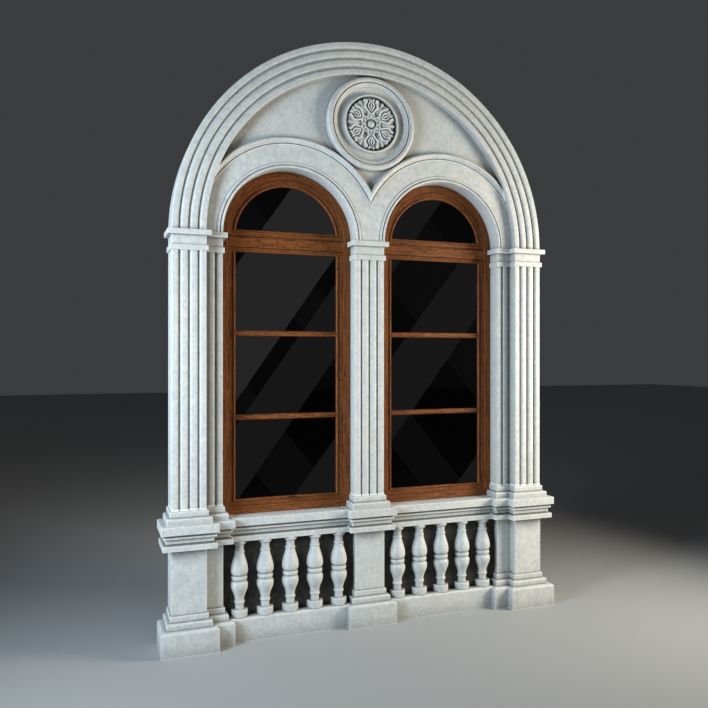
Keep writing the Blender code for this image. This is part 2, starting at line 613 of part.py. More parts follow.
def build_windows(wood, glass):
    floor = PEDESTAL_HEIGHT + GAP
    start = SPRINGING_HEIGHT + GAP
    shrink = math.cos(math.pi / (2 * RING_STEPS))
    casing_inner = OPENING - GAP - CASING
    light_half = casing_inner - GAP
    light_radius = casing_inner * shrink - GAP
    front = FRAME_FRONT
    transom_top = start + TRANSOM_TOP
    rail_split = start + TRANSOM_TOP - TRANSOM_LAP
    transom_low = start - TRANSOM_BOTTOM + TRANSOM_BEAD
    glass_front = front + GLASS_SETBACK
    for name, sign in (("left", -1.0), ("right", 1.0)):
        x = sign * BAY_CENTRE
        rings = []
        shape = [(0.0, DEPTH, 0.0), (0.0, front, 0.0), (CASING - 0.010, front, CASING - 0.010)]
        shape += [(CASING - 0.002, front + 0.004, CASING - 0.002), (CASING, front + 0.012, CASING)]
        shape += [(CASING, DEPTH, CASING)]
        for inset, y, lift in shape:
            rings.append(arched_ring(sign, inset, y, floor + lift))
        ring_loft("frame_" + name, rings, wood)

        rings = []
        for inset, y in light_section():
            low = rail_split + GAP + inset * (TRANSOM_LAP - GAP) / LIGHT_EDGE
            rings.append(fan_ring(sign, light_radius - inset, y, low))
        ring_loft("upper_light_" + name, rings, wood)

        bottom = floor + CASING + GAP
        top = transom_low - GAP
        low_rail = PEDESTAL_HEIGHT + LOWER_RAIL - bottom
        rings = []
        for inset, y in light_section():
            low = bottom + inset * low_rail / LIGHT_EDGE
            high = top - inset * HEAD_RAIL / LIGHT_EDGE
            rings.append(box_ring(sign, light_half - inset, y, low, high))
        ring_loft("lower_light_" + name, rings, wood)

        lean = (rail_split - start) * math.tan(math.pi / (2 * RING_STEPS))
        build_transom("transom_" + name, x, light_half - lean, transom_low, rail_split, wood)

        clear = light_half - LIGHT_EDGE
        pane_low = bottom + low_rail
        pane_high = top - HEAD_RAIL
        pane_height = (pane_high - pane_low - (PANES - 1) * MUNTIN) / PANES
        for place in range(PANES):
            z0 = pane_low + place * (pane_height + MUNTIN)
            add_box("pane_%s_%d" % (name, place + 1), x - clear + GAP, x + clear - GAP,
                    depth(glass_front), depth(glass_front + GLASS_THICK), z0 + GAP, z0 + pane_height - GAP, glass)
            if place < PANES - 1:
                bar = "muntin_%s_%d" % (name, place + 1)
                build_muntin(bar, x, clear - GAP, z0 + pane_height, z0 + pane_height + MUNTIN, wood)
        build_fan_pane("pane_%s_%d" % (name, PANES + 1), sign, (light_radius - LIGHT_EDGE) * shrink - GAP,
                       transom_top + GAP, glass_front, glass)


def build_transom(name, x, half, bottom, top, wood):
    """Broad rail between the lights with a soft upper edge and a bead below."""
    front = FRAME_FRONT + 0.004
    shape = [(DEPTH, bottom), (front + 0.010, bottom), (front + 0.003, bottom + 0.006)]
    shape += [(front + 0.003, bottom + 0.012), (front + 0.008, bottom + 0.018)]
    shape.append((front, bottom + TRANSOM_BEAD))
    shape += [(front, top - 0.012), (front + 0.006, top - 0.003), (front + 0.014, top), (DEPTH, top)]
    bm = bmesh.new()
    face = add_face(bm, [(x - half, depth(y), z) for y, z in shape])
    result = bmesh.ops.extrude_face_region(bm, geom=[face])
    verts = [item for item in result["geom"] if isinstance(item, bmesh.types.BMVert)]
    bmesh.ops.translate(bm, verts=verts, vec=(2 * half, 0, 0))
    finish(bm, name, wood)


def build_muntin(name, x, half, bottom, top, wood):
    """Glazing bar with a rounded face."""
    front = FRAME_FRONT + 0.006
    middle = (bottom + top) / 2
    shape = [(DEPTH, bottom), (front + 0.016, bottom), (front + 0.005, bottom + 0.008)]
    shape += [(front, middle), (front + 0.005, top - 0.008), (front + 0.016, top), (DEPTH, top)]
    bm = bmesh.new()
    face = add_face(bm, [(x - half, depth(y), z) for y, z in shape])
    result = bmesh.ops.extrude_face_region(bm, geom=[face])
    verts = [item for item in result["geom"] if isinstance(item, bmesh.types.BMVert)]
    bmesh.ops.translate(bm, verts=verts, vec=(2 * half, 0, 0))
    finish(bm, name, wood)


def build_fan_pane(name, sign, radius, bottom, front, glass):
    bm = bmesh.new()
    face = add_face(bm, fan_ring(sign, radius, front, bottom))
    result = bmesh.ops.extrude_face_region(bm, geom=[face])
    verts = [item for item in result["geom"] if isinstance(item, bmesh.types.BMVert)]
    bmesh.ops.translate(bm, verts=verts, vec=(0, GLASS_THICK, 0))
    finish(bm, name, glass)


clear_scene()
SURROUND = make_collection("window_surround")
CUTTERS = make_collection("cutters")
STONE = make_material("pale_stone", (0.62, 0.62, 0.60), 0.75)
DARK = make_material("dark_panel", (0.032, 0.031, 0.028), 0.85)
WOOD = make_material("stained_wood", (0.17, 0.060, 0.022), 0.45)
GLASS = make_material("window_glass", (0.02, 0.022, 0.025), 0.06)

build_pedestals(STONE)
build_rails(STONE, DARK)
build_balusters(STONE)
build_pilasters(STONE)
build_arch(STONE)
build_archivolts(STONE)
build_tympanum(STONE)
build_roundel(STONE)
build_rosette(STONE)
build_windows(WOOD, GLASS)
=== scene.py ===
# Arched twin window surround: the finished stone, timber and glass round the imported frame.
# Metres, Z up, the front faces -Y.
import math

import bmesh
import bpy
import numpy as np
from bpy.props import FloatProperty, FloatVectorProperty, PointerProperty
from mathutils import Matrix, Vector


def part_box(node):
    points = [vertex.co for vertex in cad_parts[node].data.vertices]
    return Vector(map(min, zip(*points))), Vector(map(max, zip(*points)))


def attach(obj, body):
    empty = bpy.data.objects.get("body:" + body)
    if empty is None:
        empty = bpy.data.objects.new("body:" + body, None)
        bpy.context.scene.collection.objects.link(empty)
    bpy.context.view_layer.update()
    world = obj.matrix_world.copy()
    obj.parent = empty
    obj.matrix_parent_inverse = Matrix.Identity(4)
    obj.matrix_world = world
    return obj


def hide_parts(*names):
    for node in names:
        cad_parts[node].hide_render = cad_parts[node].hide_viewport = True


bl_info = {
    "name": "Arched twin window surround",
    "version": (1, 0, 0),
    "blender": (4, 5, 0),
    "location": "3D View > Sidebar > Surround",
    "description": "Carved stone, balusters, stained windows and glass for the arched twin window surround",
    "category": "Object",
}

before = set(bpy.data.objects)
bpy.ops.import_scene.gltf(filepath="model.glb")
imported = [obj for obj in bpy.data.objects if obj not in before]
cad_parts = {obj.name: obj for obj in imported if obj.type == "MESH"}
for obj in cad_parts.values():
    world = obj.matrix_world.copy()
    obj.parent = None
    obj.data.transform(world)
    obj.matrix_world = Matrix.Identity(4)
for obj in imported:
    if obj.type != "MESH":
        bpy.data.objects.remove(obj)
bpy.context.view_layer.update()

# Places read from the frame
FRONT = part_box("pedestal_left")[0].y
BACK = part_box("pedestal_left")[1].y
CAP_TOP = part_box("cap_centre")[1].z
CAP_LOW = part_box("cap_centre")[0].z
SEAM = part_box("pilaster_base_centre")[0].z - CAP_TOP
PLINTH_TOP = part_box("base_rail_left")[1].z
FOOT_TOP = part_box("pilaster_base_centre")[1].z
SHAFT_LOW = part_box("pilaster_centre")[0].z
SHAFT_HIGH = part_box("pilaster_centre")[1].z
CAPITAL_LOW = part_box("capital_centre")[0].z
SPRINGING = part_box("capital_centre")[1].z
ARCH_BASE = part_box("great_arch")[0].z
ARCH_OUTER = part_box("great_arch")[1].x
SHAFT_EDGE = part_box("pilaster_right")[0].x
CENTRE_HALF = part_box("pilaster_centre")[1].x
BAY_CENTRE = (SHAFT_EDGE + CENTRE_HALF) / 2
OPENING = (SHAFT_EDGE - CENTRE_HALF) / 2
MAIN_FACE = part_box("pilaster_right")[0].y
INNER_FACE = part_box("pilaster_centre")[0].y
FRONT_OUT = MAIN_FACE - FRONT
SIDE_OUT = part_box("pedestal_right")[1].x - ARCH_OUTER
INNER_OUT = SHAFT_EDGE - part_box("pedestal_right")[0].x
RAIL_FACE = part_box("base_rail_left")[0].y + FRONT_OUT
PANEL_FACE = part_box("panel_left")[0].y
WALL_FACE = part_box("tympanum")[0].y
ROLL_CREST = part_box("archivolts")[0].y
ROUNDEL_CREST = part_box("roundel")[0].y
ROUNDEL_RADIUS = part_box("roundel")[1].x
ROUNDEL_HEIGHT = (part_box("roundel")[0].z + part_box("roundel")[1].z) / 2
ROSETTE_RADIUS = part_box("rosette")[1].x
ROSETTE_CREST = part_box("rosette")[0].y
ROSETTE_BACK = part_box("rosette")[1].y
CASING_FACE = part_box("frame_left")[0].y
SASH_HALF = (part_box("lower_light_right")[1].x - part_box("lower_light_right")[0].x) / 2
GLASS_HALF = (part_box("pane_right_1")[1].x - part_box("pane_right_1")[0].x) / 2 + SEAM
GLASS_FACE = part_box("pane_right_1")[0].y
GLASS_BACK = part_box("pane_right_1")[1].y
SIDES = (("left", -1.0), ("right", 1.0))


class StoneSizes(bpy.types.PropertyGroup):
    """Sizes of the carved stone."""

    shaft_width: FloatProperty(
        name="Shaft width", description="Width of the outer pilasters and the great arch",
        default=0.270, subtype="DISTANCE", unit="LENGTH")
    arris: FloatProperty(
        name="Arris", description="Softness of the stone edges",
        default=0.006, subtype="DISTANCE", unit="LENGTH")
    flute_depth: FloatProperty(
        name="Flute depth", description="Depth of the grooves of the shafts and the arch",
        default=0.017, subtype="DISTANCE", unit="LENGTH")
    flute_half: FloatProperty(
        name="Flute half width", description="Half width of a groove between its walls",
        default=0.0065, subtype="DISTANCE", unit="LENGTH")
    flute_round: FloatProperty(
        name="Flute round", description="Width of the rounded edge beside a groove",
        default=0.0205, subtype="DISTANCE", unit="LENGTH")
    baluster_radius: FloatProperty(
        name="Baluster radius", description="Largest radius of the balusters",
        default=0.0702, subtype="DISTANCE", unit="LENGTH")
    baluster_back: FloatProperty(
        name="Baluster axis", description="Distance from the plinth front to the baluster axis",
        default=0.2115, subtype="DISTANCE", unit="LENGTH")
    archivolt_width: FloatProperty(
        name="Archivolt width", description="Width of the small arches",
        default=0.256, subtype="DISTANCE", unit="LENGTH")
    band_depth: FloatProperty(
        name="Band depth", description="Distance from the plinth front to the flat band of the small arches",
        default=0.157, subtype="DISTANCE", unit="LENGTH")
    eye_radius: FloatProperty(
        name="Eye radius", description="Clear radius inside the roundel",
        default=0.234, subtype="DISTANCE", unit="LENGTH")


class TimberSizes(bpy.types.PropertyGroup):
    """Sizes of the windows."""

    casing: FloatProperty(
        name="Casing", description="Width of the fixed frame in the opening",
        default=0.062, subtype="DISTANCE", unit="LENGTH")
    sash_edge: FloatProperty(
        name="Sash edge", description="Width of the sash from the casing to the glass",
        default=0.0655, subtype="DISTANCE", unit="LENGTH")
    sash_depth: FloatProperty(
        name="Sash depth", description="How far the sash lies behind the casing",
        default=0.012, subtype="DISTANCE", unit="LENGTH")
    fan_rail: FloatProperty(
        name="Fan rail", description="Height of the lower rail of the half round light",
        default=0.048, subtype="DISTANCE", unit="LENGTH")


class Finishes(bpy.types.PropertyGroup):
    """Colours of the stone, timber, panels and glass."""

    stone_light: FloatVectorProperty(
        name="Stone, light", description="Pale patches of the stone",
        default=(0.70, 0.70, 0.68), size=3, subtype="COLOR", min=0.0, max=1.0)
    stone_shade: FloatVectorProperty(
        name="Stone, shade", description="Greyer patches of the stone",
        default=(0.565, 0.577, 0.578), size=3, subtype="COLOR", min=0.0, max=1.0)
    timber_light: FloatVectorProperty(
        name="Timber, light", description="Light grain of the stained timber",
        default=(0.30, 0.093, 0.023), size=3, subtype="COLOR", min=0.0, max=1.0)
    timber_dark: FloatVectorProperty(
        name="Timber, dark", description="Dark grain and pores of the stained timber",
        default=(0.070, 0.020, 0.006), size=3, subtype="COLOR", min=0.0, max=1.0)
    panel_colour: FloatVectorProperty(
        name="Panel", description="Dark panels behind the balusters",
        default=(0.034, 0.033, 0.030), size=3, subtype="COLOR", min=0.0, max=1.0)
    glass_tint: FloatVectorProperty(
        name="Glass", description="Tint of the panes",
        default=(0.007, 0.007, 0.008), size=3, subtype="COLOR", min=0.0, max=1.0)


class StageSettings(bpy.types.PropertyGroup):
    """Camera and lamps."""

    camera_place: FloatVectorProperty(
        name="Camera", description="Place of the camera",
        default=(-2.3066, -5.8158, 2.3192), size=3, subtype="TRANSLATION", unit="LENGTH")
    camera_yaw: FloatProperty(
        name="Yaw", description="Turn of the camera to the right of straight ahead",
        default=math.radians(20.367), subtype="ANGLE", unit="ROTATION")
    camera_pitch: FloatProperty(
        name="Pitch", description="Tilt of the camera above level",
        default=math.radians(0.084), subtype="ANGLE", unit="ROTATION")
    lens: FloatProperty(
        name="Lens", description="Focal length on a 36 mm sensor",
        default=36.68, subtype="DISTANCE_CAMERA")
    cool_power: FloatProperty(
        name="Cool lamp", description="Power of the lamp on the left",
        default=172.0, subtype="POWER", unit="POWER")
    warm_power: FloatProperty(
        name="Warm lamp", description="Power of the lamp on the right",
        default=190.0, subtype="POWER", unit="POWER")
    top_power: FloatProperty(
        name="Top lamp", description="Power of the lamp overhead",
        default=10.0, subtype="POWER", unit="POWER")
    air: FloatProperty(
        name="Air light", description="Strength of the even light from all round",
        default=0.055, min=0.0)


# Lines and curves

# A rounded corner takes at most this share of the sides next to it
SIDE_SHARE = 0.48
SHORTEST_SIDE = 1e-9


def soften(points, reach, steps=4, closed=True):
    """Rounds corners: between A and B, points at most reach from corner P on its two sides,
    the line becomes (1-t)(1-t) A + 2t(1-t) P + t t B for t from 0 to 1."""
    points = np.asarray(points, float)
    back = np.roll(points, 1, axis=-2) - points
    ahead = np.roll(points, -1, axis=-2) - points
    back_length = np.maximum(np.linalg.norm(back, axis=-1, keepdims=True), SHORTEST_SIDE)
    ahead_length = np.maximum(np.linalg.norm(ahead, axis=-1, keepdims=True), SHORTEST_SIDE)
    limit = np.broadcast_to(np.asarray(reach, float), points.shape[:-1])[..., None].copy()
    if not closed:
        limit[..., 0, :] = 0.0
        limit[..., -1, :] = 0.0
    a = points + back / back_length * np.minimum(limit, SIDE_SHARE * back_length)
    b = points + ahead / ahead_length * np.minimum(limit, SIDE_SHARE * ahead_length)
    t = np.linspace(0.0, 1.0, steps + 1)[:, None]
    a, b, p = a[..., None, :], b[..., None, :], points[..., None, :]
    curve = (1 - t) ** 2 * a + 2 * t * (1 - t) * p + t ** 2 * b
    curve = curve.reshape(points.shape[:-2] + (-1, points.shape[-1]))
    if not closed:
        curve = curve[..., steps:curve.shape[-2] - steps, :]
    return curve


def soft_line(corners, steps=4):
    """An open line through corners (first, second, reach), where each is rounded by its own reach."""
    corners = np.array(corners, float)
    return soften(corners[:, :2], corners[:, 2], steps, closed=False)


def half_oval(start, end, base, crest, steps=8):
    """Half an ellipse from (start, base) over (middle, crest) to (end, base)."""
    turn = np.linspace(0.0, math.pi, steps + 1)
    middle, half = (start + end) / 2, (end - start) / 2
    return np.stack([middle - half * np.cos(turn), base + (crest - base) * np.sin(turn)], axis=1)


def quarter(start, end, steps, swell_first=True):
    """A quarter of an ellipse between two points; swell_first leaves start along the second axis."""
    turn = np.linspace(0.0, math.pi / 2, steps + 1)[:, None]
    start, end = np.asarray(start, float), np.asarray(end, float)
    first = np.concatenate([1 - np.cos(turn), np.sin(turn)], axis=1)
    second = np.concatenate([np.sin(turn), 1 - np.cos(turn)], axis=1)
    return start + (end - start) * (first if swell_first else second)


def spline(points, steps=5):
    """A smooth curve through all the points. From b to c, with a before them and d after them, it is
    half of (2b + (c-a) t + (2a-5b+4c-d) t t + (3b-a-3c+d) t t t)."""
    points = np.asarray(points, float)
    ends = np.concatenate([2 * points[:1] - points[1:2], points, 2 * points[-1:] - points[-2:-1]])
    a, b, c, d = (ends[k:len(ends) - 3 + k, None] for k in range(4))
    t = np.linspace(0.0, 1.0, steps + 1)[:-1, None]
    square, cube = 2 * a - 5 * b + 4 * c - d, 3 * b - a - 3 * c + d
    curve = 0.5 * (2 * b + (c - a) * t + square * t ** 2 + cube * t ** 3)
    return np.concatenate([curve.reshape(-1, points.shape[1]), points[-1:]])


def turned(section, centre_x, centre_z, angle):
    """Section points (radius, y) turned about a level axis to each row's angle: x is the centre's plus radius
    times cos angle, z is the centre's plus radius times sin angle. The angle may differ from point to point,
    so that a ring can stop on another surface."""
    radius = section[None, :, 0]
    x = centre_x + radius * np.cos(angle)
    z = centre_z + radius * np.sin(angle)
    return np.stack([x, np.broadcast_to(section[None, :, 1], x.shape), z], axis=-1)


def mirrored(points, sign):
    """The same points, with X turned over for the left side."""
    return np.asarray(points) * (sign, 1.0, 1.0)


# Meshes

WELD = 0.00002


def grid_quads(rows, columns, wrap_rows=False, wrap_columns=False):
    """Corner numbers of the quads of a grid of points stored row by row."""
    row = np.arange(rows if wrap_rows else rows - 1)
    column = np.arange(columns if wrap_columns else columns - 1)
    r, c = np.meshgrid(row, column, indexing="ij")
    next_r, next_c = (r + 1) % rows, (c + 1) % columns
    corners = [r * columns + c, r * columns + next_c, next_r * columns + next_c, next_r * columns + c]
    return np.stack(corners, axis=-1).reshape(-1, 4)


def new_object(name, data):
    """An object for a mesh, a lamp or a camera, linked to the scene."""
    made = bpy.data.objects.new(name, data)
    bpy.context.scene.collection.objects.link(made)
    return made


def write_mesh(name, points, quads, caps, finish, nodes, angle=38.0, lengths=None, weighted=True):
    """Puts arrays into a mesh that rides on the frame and stands for CAD nodes. caps are flat end faces.
    Edges are crisp from angle in degrees. lengths is a pair of distances for each quad corner and becomes the
    UV map."""
    mesh = bpy.data.meshes.new(name)
    faces = quads.tolist() + [list(cap) for cap in caps]
    mesh.from_pydata(points.reshape(-1, 3).tolist(), [], faces)
    if lengths is not None:
        layer = mesh.uv_layers.new(name="grain")
        values = np.zeros((len(mesh.loops), 2), np.float32)
        values[:lengths.size // 2] = lengths.reshape(-1, 2)
        layer.data.foreach_set("uv", values.ravel())
    bm = bmesh.new()
    bm.from_mesh(mesh)
    bmesh.ops.remove_doubles(bm, verts=bm.verts[:], dist=WELD)
    bmesh.ops.dissolve_degenerate(bm, edges=bm.edges[:], dist=WELD)
    bmesh.ops.recalc_face_normals(bm, faces=bm.faces[:])
    bm.to_mesh(mesh)
    bm.free()
    mesh.shade_smooth()
    mesh.set_sharp_from_angle(angle=math.radians(angle))
    mesh.materials.append(finish_named(finish))
    piece = new_object(name, mesh)
    if weighted:
        modifier = piece.modifiers.new("flat faces stay flat", "WEIGHTED_NORMAL")
        modifier.keep_sharp = True
        modifier.weight = 90
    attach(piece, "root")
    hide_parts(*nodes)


def loop_piece(name, points, finish, nodes, **options):
    """A closed outline carried along a path: rows follow the path and the two ends get flat caps."""
    rows, columns = points.shape[:2]
    first = np.arange(columns)
    caps = [first[::-1], first + (rows - 1) * columns]
    write_mesh(name, points, grid_quads(rows, columns, wrap_columns=True), caps, finish, nodes, **options)


def with_rear(front, back):
    """The points of a front surface and after them the same points at depth back."""
    rear = front.copy()
    rear[..., 1] = back
    return np.concatenate([front.reshape(-1, 3), rear.reshape(-1, 3)])


def slab_quads(rows, columns, edges, wrap=False):
    """Quads of a front grid, of the same grid behind it and of strips that join the two along some edges."""
    count = rows * columns
    face = grid_quads(rows, columns, wrap_rows=wrap)
    strips = [np.stack([edge[:-1], edge[1:], edge[1:] + count, edge[:-1] + count], axis=1) for edge in edges]
    return np.concatenate([face, face[:, ::-1] + count] + strips)


def slab_piece(name, front, back, finish, nodes, wrap=False, **options):
    """A front surface over a flat rear one at depth back, joined round their edges. wrap closes the rows in a
    ring."""
    rows, columns = front.shape[:2]
    index = np.arange(rows * columns).reshape(rows, columns)
    edges = [index[:, 0], index[:, -1]]
    if wrap:
        edges = [np.append(edge, edge[0]) for edge in edges]
    else:
        edges += [index[0], index[-1]]
    quads = slab_quads(rows, columns, edges, wrap)
    write_mesh(name, with_rear(front, back), quads, [], finish, nodes, **options)


# Plans and profiles of the stone

def outer_plan(notched=False):
    """Corners of the stepped outer pier with no projection, and how far each one moves for a full projection.
    A notched one keeps clear of the window frame."""
    inner, stop = ARCH_OUTER - bpy.context.scene.stone_sizes.shaft_width, CASING_FACE - SEAM
    corners = [(ARCH_OUTER, BACK), (ARCH_OUTER, MAIN_FACE), (inner, MAIN_FACE), (inner, INNER_FACE),
               (SHAFT_EDGE, INNER_FACE)]
    moves = [(SIDE_OUT, 0.0), (SIDE_OUT, -FRONT_OUT), (-SIDE_OUT, -FRONT_OUT), (-SIDE_OUT, -FRONT_OUT),
             (-INNER_OUT, -FRONT_OUT)]
    if notched:
        corners += [(SHAFT_EDGE, stop), (SHAFT_EDGE, stop), (SHAFT_EDGE, BACK)]
        moves += [(-INNER_OUT, 0.0), (0.0, 0.0), (0.0, 0.0)]
    else:
        corners.append((SHAFT_EDGE, BACK))
        moves.append((-INNER_OUT, 0.0))
    return np.array(corners), np.array(moves)


def centre_plan(notched=False):
    """Corners and moves of the middle pier, as in outer_plan."""
    half, stop = CENTRE_HALF, CASING_FACE - SEAM
    if notched:
        right = [(half, BACK), (half, stop), (half, stop), (half, INNER_FACE)]
        right_moves = [(0.0, 0.0), (0.0, 0.0), (INNER_OUT, 0.0), (INNER_OUT, -FRONT_OUT)]
    else:
        right = [(half, BACK), (half, INNER_FACE)]
        right_moves = [(INNER_OUT, 0.0), (INNER_OUT, -FRONT_OUT)]
    left = [(-x, y) for x, y in reversed(right)]
    left_moves = [(-x, y) for x, y in reversed(right_moves)]
    return np.array(right + left), np.array(right_moves + left_moves)


def bay_plan():
    """Corners and moves of a rail between two inner piers; its ends give way to the piers' projection."""
    near, far = CENTRE_HALF + SEAM, SHAFT_EDGE - SEAM
    corners = [(near, BACK), (near, RAIL_FACE), (far, RAIL_FACE), (far, BACK)]
    moves = [(INNER_OUT, 0.0), (INNER_OUT, -FRONT_OUT), (-INNER_OUT, -FRONT_OUT), (-INNER_OUT, 0.0)]
    return np.array(corners), np.array(moves)


def moulded_block(name, plan, profile, nodes, sign=1.0, square=False):
    """Each level is the plan with every corner moved by the profile's projection and rounded, unless the
    block is square. The levels are the rows."""
    corners, moves = plan
    levels = corners[None] + profile[:, 0, None, None] * moves[None]
    outline = levels if square else soften(levels, bpy.context.scene.stone_sizes.arris)
    height = np.broadcast_to(profile[:, 1, None, None], outline.shape[:2] + (1,))
    loop_piece(name, mirrored(np.concatenate([outline, height], axis=2), sign), "carved_stone", nodes)


def soft_profile(corners, steps=4):
    """Corners are (projection share, height, reach in metres); gives rounded (share, height) pairs."""
    scale = np.array([FRONT_OUT, 1.0, 1.0])
    return soft_line(np.array(corners) * scale, steps) / scale[:2]


# Height of one base moulding, and the softness of the plinth's upper edge
FOOT = (FOOT_TOP - CAP_TOP - SEAM) / 2
PLINTH_EDGE = 0.024


def foot_corners(bottom, top_share):
    """Two base mouldings with rounded tops, each over a small quirk."""
    first, second = bottom + FOOT, bottom + 2 * FOOT
    return [(0.486, bottom, 0.0), (0.486, first - 0.002, 0.013), (0.160, first, 0.001),
            (0.180, first + 0.012, 0.001), (0.180, second - 0.001, 0.011), (top_share - 0.02, second, 0.001),
            (top_share, second + 0.012, 0.001)]


def pedestal_profile():
    """Plinth with a soft upper edge, two base mouldings and the die."""
    die = 0.034
    plinth = [(1.0, 0.0, 0.0), (1.0, PLINTH_TOP, PLINTH_EDGE)]
    return soft_profile(plinth + foot_corners(PLINTH_TOP, die) + [(die, CAP_LOW - SEAM, 0.0)], steps=6)


def rail_profile():
    """The plinth alone. The last corner only steers the rounding of the one before it."""
    corners = [(1.0, 0.0, 0.0), (1.0, PLINTH_TOP, PLINTH_EDGE), (0.40, PLINTH_TOP, 0.0)]
    return soft_profile(corners, steps=6)[:-1]


def cap_profile():
    """Lip, quirk, sunk neck, band, quirk and fascia."""
    height = CAP_TOP - CAP_LOW
    lip, neck, band, slope = (CAP_LOW + share * height for share in (0.219, 0.467, 0.624, 0.661))
    return soft_profile([
        (0.80, CAP_LOW, 0.0), (0.851, CAP_LOW, 0.003), (0.851, lip, 0.005), (0.480, lip + 0.001, 0.001),
        (0.480, lip + 0.011, 0.001), (0.576, lip + 0.014, 0.002), (0.576, neck, 0.002),
        (0.780, neck + 0.003, 0.003), (0.780, band - 0.012, 0.002), (0.690, band - 0.010, 0.001),
        (0.690, slope - 0.004, 0.001), (1.0, slope, 0.003), (1.0, CAP_TOP, 0.006), (0.90, CAP_TOP, 0.0)])


def capital_profile():
    """Astragal, plain neck and abacus."""
    height = SPRINGING - CAPITAL_LOW
    astragal, neck = CAPITAL_LOW + 0.265 * height, CAPITAL_LOW + 0.738 * height
    return soft_profile([
        (0.06, CAPITAL_LOW, 0.0), (0.153, CAPITAL_LOW, 0.004), (0.153, astragal, 0.007),
        (0.012, astragal + 0.001, 0.002), (0.012, neck, 0.002), (0.390, neck + 0.001, 0.003),
        (0.390, SPRINGING, 0.006), (0.30, SPRINGING, 0.0)])


# Places of the grooves as shares of a shaft's width, from the inner edge
FLUTES = (0.774, 0.5, 0.226)
SLIM_FLUTES = (0.875, 0.40)
# Half of a groove, as (distance from its middle, fall below the face). Distances on the shoulder are shares
# of its outer edge's, those in the groove are shares of the half width, and falls are shares of the depth
SHOULDER = ((1.0, 0.0), (0.82, 0.035), (0.64, 0.11))
GROOVE = ((2.05, 0.22), (1.65, 0.42), (1.25, 0.68), (0.80, 0.92), (0.35, 1.0))
# How much softer the edges of shafts and arches are than those of blocks, the run of face beside a soft
# corner, and the depth to which the arch's section follows its sides
SOFTER, LEAD, ARCH_SIDE = 0.002, 0.02, 0.03


def flute(centre, face):
    """Section of a groove between convex fillets, from its outer side to its inner one: shoulders that fall
    off slowly, sloping walls and a round bottom."""
    sizes = bpy.context.scene.stone_sizes
    shoulder = np.array(SHOULDER) * (sizes.flute_half + sizes.flute_round, sizes.flute_depth)
    groove = np.array(GROOVE) * (sizes.flute_half, sizes.flute_depth)
    half = np.concatenate([shoulder, groove]) + (0.0, face)
    return np.concatenate([half, (half * (-1.0, 1.0))[::-1]]) + (centre, 0.0)


def fluted_face(inner, outer, face):
    """Front of a fluted band from outer to inner, with its soft corners left out."""
    return np.concatenate([flute(inner + share * (outer - inner), face) for share in FLUTES])


def soft_corner(before, corner, after):
    """A rounded corner of a shaft or an arch, with the point before it and the one after it."""
    return soften([before, corner, after], bpy.context.scene.stone_sizes.arris + SOFTER, closed=False)


# Finishes

# Socket numbers of a colour mix
MIX_AMOUNT, MIX_FIRST, MIX_SECOND, MIX_RESULT = 0, 6, 7, 2


